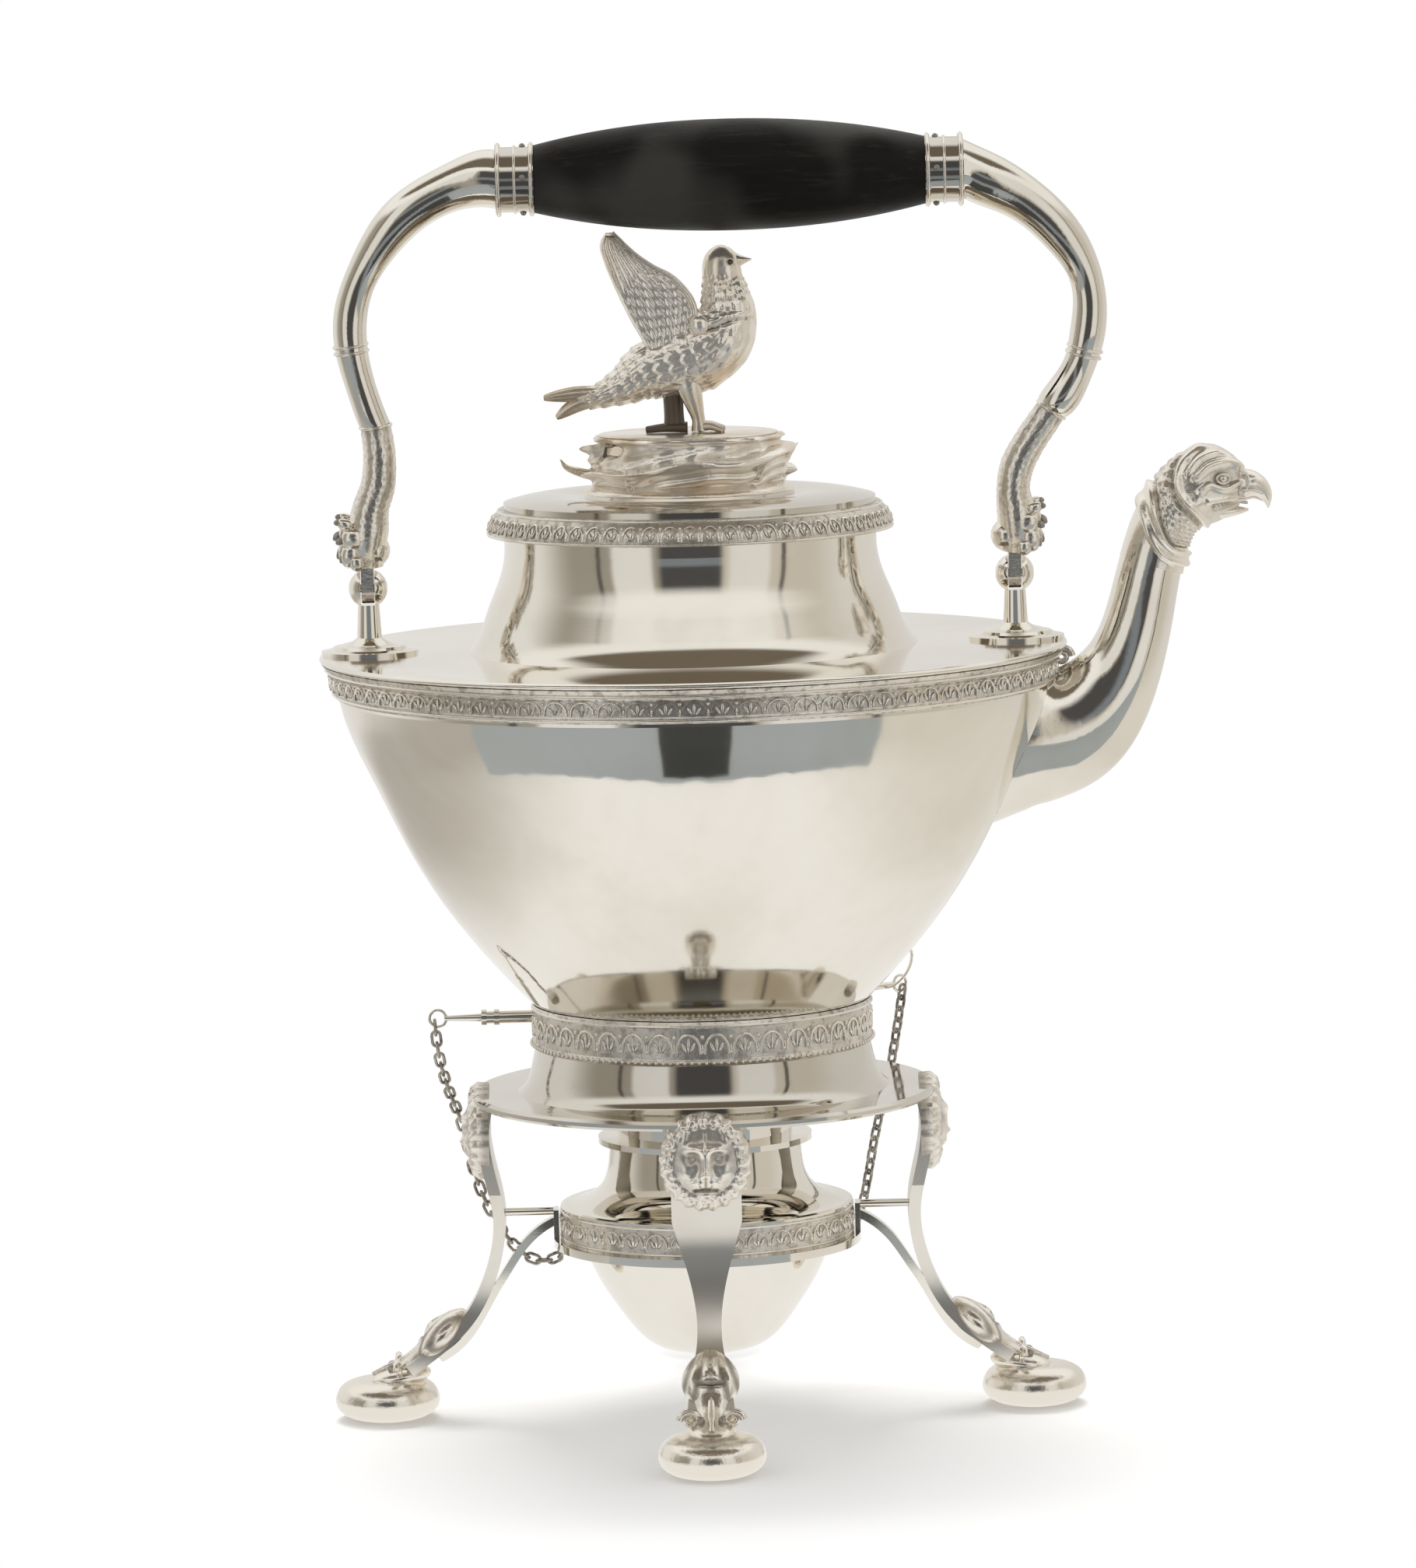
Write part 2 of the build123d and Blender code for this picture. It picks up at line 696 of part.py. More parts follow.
def post(side):
    stem_foot = SHOULDER_TOP + 4.4
    face = outline(
        ((0, SHOULDER_TOP), (POST_R, SHOULDER_TOP)),
        ((POST_R, SHOULDER_TOP), (POST_R, SHOULDER_TOP + 0.9)),
        ((POST_R - 3.2, SHOULDER_TOP + 1.4), (POST_R - 3.6, SHOULDER_TOP + 2.2)),
        [
            (POST_R - 3.6, SHOULDER_TOP + 2.2),
            (STEM_R + 1.8, SHOULDER_TOP + 3.2),
            (STEM_R, stem_foot),
        ],
        ((STEM_R, stem_foot), (STEM_R - 0.5, BALL_Z - BALL_R + 1)),
        ((0, BALL_Z - BALL_R + 1), (0, SHOULDER_TOP)),
    )
    piece = turned(face) + Pos(0, 0, BALL_Z) * Sphere(BALL_R)
    slot = TONGUE_T + 2 * GAP
    floor = BALL_Z - TONGUE_R - 0.4
    piece -= Pos(0, 0, floor + BALL_R) * Box(slot, 3 * BALL_R, 2 * BALL_R)
    piece -= rod_x(PIVOT_R, -BALL_R, BALL_R, 0, BALL_Z)
    return Pos(side * POST_X, 0, 0) * piece


def pivot_pin(side):
    half = math.sqrt(BALL_R**2 - PIVOT_R**2)
    return rod_x(PIVOT_R, side * POST_X - half, side * POST_X + half, 0, BALL_Z)


# ---------------------------------------------------------------- stand

# Middle of the leg strap from the flange to the foot, as radius and height.
LEG_LINE = [
    (59.6, FLANGE_Z),
    (59.2, 66.7),
    (57.6, 58.0),
    (58.0, 49.4),
    (61.3, 37.5),
    (67.2, 27.4),
    (77.0, 18.8),
    (83.5, 14.2),
]
BRACE_LINE = [(50.8, 48.2), (53.6, 44.4), (56.3, 40.2)]


def flange():
    top = FLANGE_Z + FLANGE_T
    side = [(51.4, top), (49.0, top + 2.8), (47.2, top + 8.2), (COLLAR_R - 0.6, COLLAR_Z)]
    inner = [(47.6, FLANGE_Z), (46.6, top + 2.8), (45.2, top + 8.2), (COLLAR_R - 2.6, COLLAR_Z - 2)]
    face = outline(
        ((FLANGE_R - 0.8, FLANGE_Z), (FLANGE_R, FLANGE_Z + 0.8)),
        ((FLANGE_R, top - 0.8), (FLANGE_R - 0.8, top)),
        side,
        ((LEDGE_R, COLLAR_Z), (LEDGE_R, COLLAR_Z - 2)),
        inner[::-1],
    )
    return turned(face)


def collar():
    slope = COLLAR_R - COLLAR_IN
    face = polygon(
        (COLLAR_IN, COLLAR_Z),
        (COLLAR_R, COLLAR_Z),
        (COLLAR_R + 0.5, COLLAR_Z + 0.9),
        (COLLAR_R, COLLAR_Z + 1.8),
        (COLLAR_R, COLLAR_TOP - 1.8),
        (COLLAR_R + 0.4, COLLAR_TOP - 0.9),
        (COLLAR_R, COLLAR_TOP),
        (COLLAR_IN, COLLAR_TOP - slope * 1.1),
    )
    band = turned(face)
    for azimuth in (180, RIGHT_AZ):
        band -= Rot(0, 0, azimuth) * rod_x(LOCK_R + FIT, COLLAR_IN - 2, COLLAR_R + 2, 0, PIN_Z)
    return band


def leg_blank():
    outer = moved_sideways(LEG_LINE, LEG_T / 2)
    inner = moved_sideways(LEG_LINE, -LEG_T / 2)
    for run in (outer, inner):
        run[0] = (run[0][0], FLANGE_Z)
    return extrude(outline(outer, inner[::-1]), LEG_HALF_W, both=True)


def leg():
    """The strap narrows to a waist above the foot and swells again on it."""
    mid = (LEG_WAIST_Z + MASK_Z) / 2
    half = [
        (LEG_HALF_W, FLANGE_Z + 1),
        (LEG_HALF_W - 0.4, MASK_Z - MASK_H),
        (6.5, mid),
        (LEG_WAIST_W, LEG_WAIST_Z),
        (6.0, 19.0),
        (6.0, 9.0),
    ]
    other = [(-y, z) for y, z in half]
    runs = (half, other[::-1])
    edges = []
    for run in runs:
        edges.append(Spline(*[(0, y, z) for y, z in run]).edge())
    edges.insert(1, Line(edges[0] @ 1, edges[1] @ 0).edge())
    edges.append(Line(edges[-1] @ 1, edges[0] @ 0).edge())
    front = extrude(Face(Wire(edges)), FOOT_R, dir=(1, 0, 0))
    return leg_blank() & front


def mask():
    face = LEG_LINE[0][0] + LEG_T / 2
    dome = blob(face, 0, MASK_Z, MASK_R - face, MASK_W, MASK_H)
    dome += blob(MASK_R - 1.2, 0, MASK_Z - 4.0, 2.2, 4.2, 3.4)
    outside = moved_sideways(LEG_LINE[:4], LEG_T / 2)
    outside[0] = (outside[0][0], FLANGE_Z)
    far = MASK_R + 10
    region = extrude(
        outline(outside, (outside[-1], (far, outside[-1][1])), ((far, FLANGE_Z), outside[0])),
        MASK_W + 1,
        both=True,
    )
    return (dome & region) - leg_blank()


def brace():
    under = moved_sideways(LEG_LINE[4:7], -(LEG_T + BRACE_T) / 2)
    clip_out = LAMP_BAND_R + LAMP_GAP + CLIP_T
    start = [(clip_out - 0.5, LAMP_SEAT + 4.8), (47.2, 51.7)]
    line = start + BRACE_LINE + under
    outer = moved_sideways(line, BRACE_T / 2)
    inner = moved_sideways(line, -BRACE_T / 2)
    strap = extrude(outline(outer, inner[::-1]), BRACE_W / 2, both=True)
    strap += rod_x(ROD_R, clip_out - 0.5, LEG_LINE[2][0], 0, ROD_Z)
    return strap - leg_blank() - disc(clip_out, LAMP_BOTTOM, FLANGE_Z)


def bun():
    face = outline(
        ((0, 0), (PAD_R, 0)),
        ((PAD_R, 0), (BUN_R - 3.6, 1.0)),
        [
            (BUN_R - 3.6, 1.0),
            (BUN_R - 0.9, 2.9),
            (BUN_R, 5.8),
            (BUN_R - 1.5, 9.2),
            (BUN_R - 5.0, BUN_TOP),
        ],
        ((BUN_R - 5.0, BUN_TOP), (0, BUN_TOP)),
        ((0, BUN_TOP), (0, 0)),
    )
    return Pos(FOOT_R, 0, 0) * turned(face)


def foot():
    piece = bun()
    piece += blob(FOOT_R - 3.0, 0, BUN_TOP + 2.0, 12.0, 8.2, 6.0, 14)
    piece += blob(FOOT_R - 9.5, 0, BUN_TOP + 7.8, 6.6, 8.4, 5.0, 36)
    for k in range(4):
        y = (k - 1.5) * 4.0
        piece += blob(FOOT_R + 8.0 - abs(k - 1.5), y, BUN_TOP + 0.6, 4.6, 2.3, 3.4, 18)
    return piece - leg_blank() - brace()


def lamp_ring():
    clip_in = LAMP_BAND_R + LAMP_GAP
    outer = clip_in + CLIP_T
    seat = ring(LAMP_RING_IN, outer, LAMP_SEAT - LAMP_RING_T, LAMP_SEAT)
    clip_zone = ring(clip_in, outer, LAMP_SEAT, LAMP_SEAT + CLIP_H)
    for k in range(4):
        seat += Rot(0, 0, 90 * k) * (
            Pos(outer, 0, LAMP_SEAT + CLIP_H / 2) * Box(8, CLIP_W, CLIP_H) & clip_zone
        )
    for place, azimuth in ((LEFT_EYE, 180), (RIGHT_EYE, RIGHT_AZ)):
        seat += ring_eye(place, azimuth) - disc(outer, LAMP_SEAT - LAMP_RING_T / 2, FLANGE_Z)
    return seat


def guide():
    """The tube a locking pin slides in, with two beads at its outer end."""
    tube = rod_x(GUIDE_R, COLLAR_R - 1, GUIDE_END, 0, PIN_Z)
    for x in (GUIDE_END - 0.7, GUIDE_END - 4.2):
        tube += rod_x(GUIDE_R + 0.5, x - 0.7, x + 0.7, 0, PIN_Z)
    tube -= rod_x(LOCK_R + FIT, COLLAR_R - 2, GUIDE_END + 1, 0, PIN_Z)
    return tube - ring(COLLAR_IN, COLLAR_R, COLLAR_Z, COLLAR_TOP) - collar()


def lock_pin():
    pin = rod_x(LOCK_R, SEAT_R + GAP + 0.05, GUIDE_END + 1.0, 0, PIN_Z)
    pin += Pos((GUIDE_END + EYE_R) / 2 - 0.6, 0, PIN_Z) * Rot(0, 90, 0) * Cone(
        LOCK_R, LOCK_R * 0.62, EYE_R - GUIDE_END - 2.4
    )
    eye = Pos(EYE_R, 0, PIN_Z) * Rot(90, 0, 0) * Torus(EYE_OUT - EYE_WIRE / 2, EYE_WIRE / 2)
    return pin + eye


# ---------------------------------------------------------------- chains

# Each chain runs from the middle of its first link to the eye under the lamp ring.
LINK_HALF = (LINK_PITCH + LINK_SLACK) / 2 + LINK_WIRE
LINK_TOP = PIN_Z + 0.1
RING_EYE_R = 1.7
RING_EYE_WIRE = 0.9
RING_EYE_Z = LAMP_SEAT - LAMP_RING_T - RING_EYE_R
HANG_R = EYE_R + PIN_TRAVEL / 2
LEFT_EYE = (-38.9, 7.2)
RIGHT_EYE = (19.6, 33.9)


def at_azimuth(radius, azimuth):
    turn = math.radians(azimuth)
    return radius * math.cos(turn), radius * math.sin(turn)


LEFT_CHAIN = [
    (*at_azimuth(HANG_R, 180), LINK_TOP - LINK_HALF),
    (-72.6, 2.2, 98.4),
    (-70.4, 9.0, 89.0),
    (-67.8, 15.2, 79.9),
    (-65.4, 16.0, 69.0),
    (-61.8, 13.0, 58.6),
    (-57.6, 10.4, 51.2),
    (-52.7, 9.4, 45.0),
    (-47.3, 9.0, 42.0),
    (-42.4, 8.0, 42.8),
    (*LEFT_EYE, RING_EYE_Z),
]
RIGHT_CHAIN = [
    (*at_azimuth(HANG_R, RIGHT_AZ), LINK_TOP - LINK_HALF),
    (54.4, 48.0, 96.0),
    (51.6, 50.0, 82.0),
    (48.6, 50.8, 70.0),
    (46.0, 50.0, 57.0),
    (43.0, 48.6, 46.0),
    (38.0, 46.0, 39.4),
    (31.5, 43.0, 38.4),
    (25.0, 38.4, 41.4),
    (*RIGHT_EYE, RING_EYE_Z),
]


def link():
    """One link lying along Z, flat in the XZ plane."""
    run = 2 * (LINK_HALF - LINK_W / 2)
    outer = SlotCenterToCenter(run, LINK_W)
    inner = SlotCenterToCenter(run, LINK_W - 2 * LINK_WIRE)
    plate = extrude(outer - inner, LINK_WIRE / 2, both=True)
    return Rot(0, 90, 0) * Rot(90, 0, 0) * plate


def chain(points, azimuth):
    """Interlocked links, every other one turned a quarter round the way it hangs."""
    path = Spline(*points).edge()
    run = path.length - LINK_HALF + LINK_WIRE / 2
    steps = 2 * math.ceil(run / LINK_PITCH / 2)
    broad = Vector(*at_azimuth(1, azimuth + 90), 0)
    links = []
    for i in range(steps + 1):
        place = path.position_at(i * run / steps, PositionMode.LENGTH)
        way = path.tangent_at(i * run / steps, PositionMode.LENGTH)
        side = way.cross(broad) if i % 2 else broad - way * broad.dot(way)
        links.append(Plane(origin=place, x_dir=side, z_dir=way).location * link())
    return Compound(links)


def ring_eye(place, azimuth):
    x, y = place
    eye = Torus(RING_EYE_R, RING_EYE_WIRE / 2)
    return Pos(x, y, RING_EYE_Z) * Rot(0, 0, azimuth) * Rot(90, 0, 0) * eye


# ---------------------------------------------------------------- lamp

LAMP_CURVE = [
    (10.0, LAMP_BOTTOM),
    (16.5, 20.4),
    (24.5, 29.4),
    (30.4, 38.7),
    (LAMP_BOWL_R, LAMP_SEAT),
]


def lamp_bowl():
    inner = moved_sideways(LAMP_CURVE, WALL)
    inner[0] = (LAMP_CURVE[0][0], LAMP_BOTTOM + WALL)
    inner[-1] = (LAMP_BOWL_R - WALL, LAMP_SEAT)
    return turned(
        outline(
            LAMP_CURVE,
            inner[::-1],
            (inner[0], (0, LAMP_BOTTOM + WALL)),
            ((0, LAMP_BOTTOM + WALL), (0, LAMP_BOTTOM)),
        )
    )


def lamp_band():
    top = LAMP_SEAT + LAMP_BAND_H
    return turned(
        polygon(
            (LAMP_BOWL_R - WALL, LAMP_SEAT),
            (LAMP_BAND_R, LAMP_SEAT),
            (LAMP_BAND_R, top),
            (LAMP_BAND_R - WALL, top),
            (LAMP_BAND_R - WALL, LAMP_SEAT + WALL),
            (LAMP_BOWL_R - WALL, LAMP_SEAT + WALL),
        )
    )


def lamp_top():
    base = LAMP_SEAT + LAMP_BAND_H
    neck_top = BRIM_TOP - 1.6
    outer = [
        (LAMP_BAND_R - 1, base + 0.9),
        (33.2, base + 2.6),
        (28.7, 65.0),
        (27.0, 70.5),
        (LAMP_NECK_R, neck_top),
    ]
    inner = moved_sideways(outer, WALL)
    inner[0] = (LAMP_BAND_R - 1 - WALL, base)
    inner[-1] = (LAMP_NECK_R - WALL, BRIM_TOP - 1.0)
    return turned(
        outline(
            ((LAMP_BAND_R, base), (LAMP_BAND_R, base + 0.6)),
            outer,
            ((BRIM_R, neck_top), (BRIM_R, BRIM_TOP)),
            ((BURNER_R, BRIM_TOP), (BURNER_R, BRIM_TOP - 1.0)),
            inner[::-1],
        )
    )


def burner():
    return ring(BURNER_R - WALL, BURNER_R, BRIM_TOP - 10, BURNER_TOP)


def wick():
    return disc(BURNER_R - WALL, BRIM_TOP - 14, BURNER_TOP + 0.9)


def snuffer_cap():
    cap = ring(CAP_R - CAP_T, CAP_R, BRIM_TOP, CAP_TOP) + disc(CAP_R, CAP_TOP - CAP_T, CAP_TOP)
    cap += disc(BUTTON_R, CAP_TOP - CAP_T / 2, CAP_TOP + BUTTON_H)
    return cap


def build():
    tube_outside = spout_outside()
    bowl = bowl_outside() - bowl_inside()
    save("kettle_bowl", bowl - strainer_holes())
    save("shoulder_band", shoulder_band() - tube_outside)
    save("shoulder_plate", shoulder_plate())
    save("kettle_neck", neck())
    save("neck_rim", neck_rim())
    save("kettle_foot_ring", foot_ring())
    save("spout_tube", spout_tube())
    save("spout_head", spout_head())
    save("lid_hinge_fixed", lid_hinge_fixed())
    save("lid_hinge_pin", hinge_bar(HINGE_PIN_R, -HINGE_W, HINGE_W))
    save("lid_plate", lid_plate())
    save("lid_bezel", lid_bezel())
    save("lid_hinge_leaf", lid_hinge_leaf())
    save("dove_base", dove_base())
    bird = dove()
    save("dove_body", bird)
    save("dove_wing_near", wing(-1) - bird)
    save("dove_wing_far", wing(1) - bird)
    sides = (("left", -1, ARM_LEFT, PAW_LEFT), ("right", 1, ARM_RIGHT, PAW_RIGHT))
    for name, side, arm_line, paw_line in sides:
        save(f"handle_post_{name}", post(side))
        save(f"pivot_pin_{name}", pivot_pin(side))
        save(f"handle_arm_{name}", leaned(arm(arm_line, paw_line, side)))
        save(f"handle_paw_{name}", leaned(paw(paw_line, arm_line, side)))
        save(f"ferrule_{name}", leaned(ferrule(side)))
    save("handle_grip", leaned(grip()))
    save("grip_core", leaned(grip_core()))
    save("stand_flange", flange())
    save("stand_collar", collar())
    one_leg, one_mask, one_brace, one_foot = leg(), mask(), brace(), foot()
    for k, name in enumerate(("right", "back", "left", "front")):
        turn = Rot(0, 0, 90 * k)
        save(f"leg_{name}", turn * one_leg)
        save(f"mask_{name}", turn * one_mask)
        save(f"brace_{name}", turn * one_brace)
        save(f"foot_{name}", turn * one_foot)
    save("lamp_ring", lamp_ring())
    for name, azimuth in (("left", 180), ("right", RIGHT_AZ)):
        save(f"pin_guide_{name}", Rot(0, 0, azimuth) * guide())
        save(f"lock_pin_{name}", Rot(0, 0, azimuth) * lock_pin())
    save("chain_left", chain(LEFT_CHAIN, 180))
    save("chain_right", chain(RIGHT_CHAIN, RIGHT_AZ))
    save("lamp_bowl", lamp_bowl())
    save("lamp_band", lamp_band())
    save("lamp_top", lamp_top())
    save("burner_tube", burner())
    save("wick", wick())
    save("snuffer_cap", snuffer_cap())


build()
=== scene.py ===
"""Dresses the spirit kettle: finishes, cast ornament, chains, stage and camera.

Lengths here are millimetres from the kettle's own axis, with +Z up, +X towards the
spout and -Y the front. A piece is turned into the frame's metres when it is made.
"""

import math

import bmesh
import bpy
import numpy as np
from bpy.props import FloatProperty, FloatVectorProperty, IntProperty, PointerProperty
from mathutils import Matrix, Vector
from numpy import clip, cos, linspace, sin, stack


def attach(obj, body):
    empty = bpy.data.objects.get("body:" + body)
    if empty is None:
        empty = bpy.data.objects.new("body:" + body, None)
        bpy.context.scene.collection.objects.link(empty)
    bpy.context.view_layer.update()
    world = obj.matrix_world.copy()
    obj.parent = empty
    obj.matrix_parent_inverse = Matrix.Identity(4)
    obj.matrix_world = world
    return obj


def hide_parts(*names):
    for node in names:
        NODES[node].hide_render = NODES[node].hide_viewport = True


bl_info = {
    "name": "Spirit Kettle Dressing",
    "version": (1, 0, 0),
    "blender": (4, 5, 0),
    "location": "3D View > Sidebar > Kettle",
    "description": "Silver, wood, cast ornament, chains, stage and camera for a spirit kettle",
    "category": "Object",
}

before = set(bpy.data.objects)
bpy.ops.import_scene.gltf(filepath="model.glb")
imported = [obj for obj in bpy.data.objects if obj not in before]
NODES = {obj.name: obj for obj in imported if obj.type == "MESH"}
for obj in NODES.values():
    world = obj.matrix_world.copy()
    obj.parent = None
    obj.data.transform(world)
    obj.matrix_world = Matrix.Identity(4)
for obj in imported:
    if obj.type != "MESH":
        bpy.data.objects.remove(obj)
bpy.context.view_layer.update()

MM = 0.001
FULL = 2 * math.pi
CREASE = math.radians(62.0)
BOTH = (-1, 1)
TINY = 1e-12
ASKEW = (0.3, 0.2, 0.93)
NEAR_AXIS = 0.02
POLE = 0.06
SIDES = ("right", "back", "left", "front")

# The beak reaches further than the feet, so the kettle's axis isn't the box's middle.
FOOT_R = 90.0
BUN_R = 14.5
BEAK_REACH = 160.1
AXIS_X = (FOOT_R + BUN_R - BEAK_REACH) / 2

# Handle
BALL_Z = 232.0
TONGUE_R = 4.2
TONGUE_T = 3.4
TONGUE_TOP = 7.4
EYE_HOLE = 1.5
LEAN = math.radians(5.0)
POST_X = 88.9
GRIP_X = 13.0
GRIP_Z = 343.9
GRIP_HALF = 53.2
FERRULE_L = 10.4
FERRULE_R = 9.6

# Lion masks, as ovals on the legs
MASK_Z = 80.4
MASK_W = 12.35
MASK_H = 13.3
MASK_DEEP = 6.0
MASK_BACK = 59.6
MASK_FRONT = 61.4
FACE = 1.13

# The plinth's wall and top, and the right pin's pull ring
PLINTH_LOW = 258.9
PLINTH_HIGH = 272.3
BASE_TOP = 272.8
RIGHT_AZ = math.radians(40.0)
PULL_OUT = 71.0
PULL_R = 6.6
PULL_Z = 117.4

# Finishes
POLISHED = "silver_polish"
DARKENED = "old_silver"
WORN = "silver_worn"
CAST = "silver_cast"
GROUND = "ground_silver"
GRIMED = "silver_grimed"
CHASED = "silver_chased"
CARVED = "silver_carved"
MASKED = "silver_masks"
CRISP = "silver_crisp"
WOOD = "wood_black"
WICK = "wick_cotton"
CHAR_FROM = 0.0795
CHAR_TO = 0.0822


# ---- shader maths


class Sock:
    """A socket's value, so that shader maths reads as plain expressions."""

    def __init__(self, net, out):
        self.net = net
        self.out = out

    def _sum(self, operation, *terms):
        return self.net.add("ShaderNodeMath", {"operation": operation}, dict(enumerate(terms)))

    def __add__(self, other):
        return self._sum("ADD", self, other)

    def __sub__(self, other):
        return self._sum("SUBTRACT", self, other)

    def __rsub__(self, other):
        return self._sum("SUBTRACT", other, self)

    def __mul__(self, other):
        return self._sum("MULTIPLY", self, other)

    def __pow__(self, other):
        return self._sum("POWER", self, other)

    def __abs__(self):
        return self._sum("ABSOLUTE", self)

    def __neg__(self):
        return self * -1

    def turned_by(self, other):
        return self._sum("ARCTAN2", self, other)

    def wave(self):
        return self._sum("SINE", self)

    __radd__ = __add__
    __rmul__ = __mul__


class Net:
    """The nodes of one material or world."""

    def __init__(self, tree):
        self.tree = tree
        tree.nodes.clear()

    def add(self, kind, settings=None, inputs=None, out=0):
        node = self.tree.nodes.new(kind)
        for name, value in (settings or {}).items():
            setattr(node, name, value)
        for name, value in (inputs or {}).items():
            if isinstance(value, Sock):
                self.tree.links.new(value.out, node.inputs[name])
            else:
                node.inputs[name].default_value = value
        return Sock(self, node.outputs[out]) if node.outputs else node

    def place(self):
        return self.add("ShaderNodeTexCoord", out="Object")

    def parts(self, vector):
        node = self.add("ShaderNodeSeparateXYZ", inputs={"Vector": vector}).out.node
        return [Sock(self, node.outputs[k]) for k in range(3)]

    def stretched(self, vector, scale):
        settings = {"operation": "MULTIPLY"}
        return self.add("ShaderNodeVectorMath", settings, {0: vector, 1: scale})

    def noise(self, vector, scale, detail=2.0, roughness=0.5, distortion=0.0):
        inputs = {"Vector": vector, "Scale": scale, "Detail": detail}
        inputs.update({"Roughness": roughness, "Distortion": distortion})
        return self.add("ShaderNodeTexNoise", inputs=inputs)

    def step(self, value, low, high, floor=0.0, top=1.0):
        """From floor to top, smoothly, as value goes from low to high."""
        ends = {"Value": value, "From Min": low, "From Max": high, "To Min": floor, "To Max": top}
        return self.add("ShaderNodeMapRange", {"interpolation_type": "SMOOTHSTEP"}, ends)

    def mix(self, share, first, second):
        ends = {0: share, 6: first, 7: second}
        return self.add("ShaderNodeMix", {"data_type": "RGBA"}, ends, out=2)

    def bump(self, height, distance, strength=1.0):
        inputs = {"Height": height, "Distance": distance, "Strength": strength}
        return self.add("ShaderNodeBump", inputs=inputs)

    def rays(self, *names):
        """Which kind of ray looks, such as Is Glossy Ray."""
        node = self.add("ShaderNodeLightPath").out.node
        return [Sock(self, node.outputs[name]) for name in names]

    def principled(self, colour, rough, normal=None, metal=0.0, specular=0.5):
        inputs = {"Base Color": colour, "Roughness": rough}
        inputs.update({"Metallic": metal, "Specular IOR Level": specular})
        if normal is not None:
            inputs["Normal"] = normal
        return self.add("ShaderNodeBsdfPrincipled", inputs=inputs)

    def show(self, shader):
        self.add("ShaderNodeOutputMaterial", inputs={"Surface": shader})


def rgba(colour):
    """A colour with full alpha, as a socket takes it."""
    return (*colour, 1.0)


def new_material(name):
    """The cleared nodes of a new material, whose name mustn't be taken."""
    if name in bpy.data.materials:
        raise RuntimeError(f"There is already a material named {name}")
    material = bpy.data.materials.new(name)
    material.use_nodes = True
    return Net(material.node_tree)


def polished_silver(look, name, age=0.0, wear=0.0):
    """Old hand-polished silver: bright, warm, with faint haze and hairline scratches."""
    net = new_material(name)
    place = net.place()
    haze = net.step(net.noise(place, 16.0, 4.0, 0.6, 0.4), 0.35, 0.72)
    spots = net.step(net.noise(place, 90.0, 3.0, 0.7), 0.66, 0.80)
    hair = net.noise(net.stretched(place, (60.0, 60.0, 900.0)), 2.0, 3.0, 0.6)
    cross_hair = net.noise(net.stretched(place, (700.0, 90.0, 90.0)), 2.0, 3.0, 0.6)
    scratch = net.step(hair, 0.60, 0.72) + net.step(cross_hair, 0.62, 0.74)
    bright, dull = (
        rgba(Vector(tone).lerp(Vector(look.dirt_and_shade), age)) for tone in (look.silver, look.tarnish)
    )
    colour = net.mix(haze * 0.55 + spots * 0.25, bright, dull)
    rough = look.roughness + wear + haze * 0.05 + scratch * 0.03 + spots * 0.06
    dents = net.noise(place, 22.0, 1.0)
    normal = net.bump(dents * 0.5 + hair * 0.01, 0.0006, 0.35)
    net.show(net.principled(colour, rough, normal, 1.0))


def cast_silver(look, name, dirt):
    """Silver as it comes from the mould, with dark soft dirt in its low places."""
    net = new_material(name)
    place = net.place()
    grain = net.noise(place, 420.0, 4.0, 0.65)
    patch = net.step(net.noise(place, 60.0, 3.0, 0.6), 0.40, 0.66)
    dirt = (1 - net.step(grain, 0.36, 0.52)) * 0.34 + patch * 0.18 + dirt
    colour = net.mix(dirt, rgba(look.cast), rgba(look.dirt_and_shade))
    net.show(net.principled(colour, 0.24 + dirt * 0.22, net.bump(grain, 0.0004, 0.45), 1.0))


def chased_silver(look, name, depth, metal, painted_shade=0.0, warm=0.0):
    """Raised work: bright where hands rub it, dark where the relief is low, as patina in the
    hollows and as painted shade on points set low.
    """
    net = new_material(name)
    place = net.place()
    rise = net.add("ShaderNodeAttribute", {"attribute_name": "rise"}, out="Fac")
    grain = net.noise(place, 700.0, 3.0, 0.6)
    # Dark where the relief is low or the value is set low: patina in hollows and painted shade
    # together.
    low = 1 - net.step(rise + (grain - 0.5) * 0.35, 0.10, 0.75)
    patch = net.noise(place, 55.0, 2.0, 0.5)
    # Points set near zero, such as the support behind the dove's legs, get extra dark: painted
    # shade.
    deep = 1 - net.step(rise, 0.0, 0.06)
    # dirt holds both the patina in hollows and the painted shade.
    dirt = low * (0.42 + patch * 0.42) * depth + deep * painted_shade
    patina_and_sheen = net.mix(net.step(patch, 0.44, 0.62) * warm, rgba(look.cast), rgba(look.patina))
    colour = net.mix(dirt, patina_and_sheen, rgba(look.dirt_and_shade))
    rough = 0.17 + dirt * 0.34 + patch * 0.04
    net.show(net.principled(colour, rough, net.bump(grain, 0.0003, 0.35), metal))


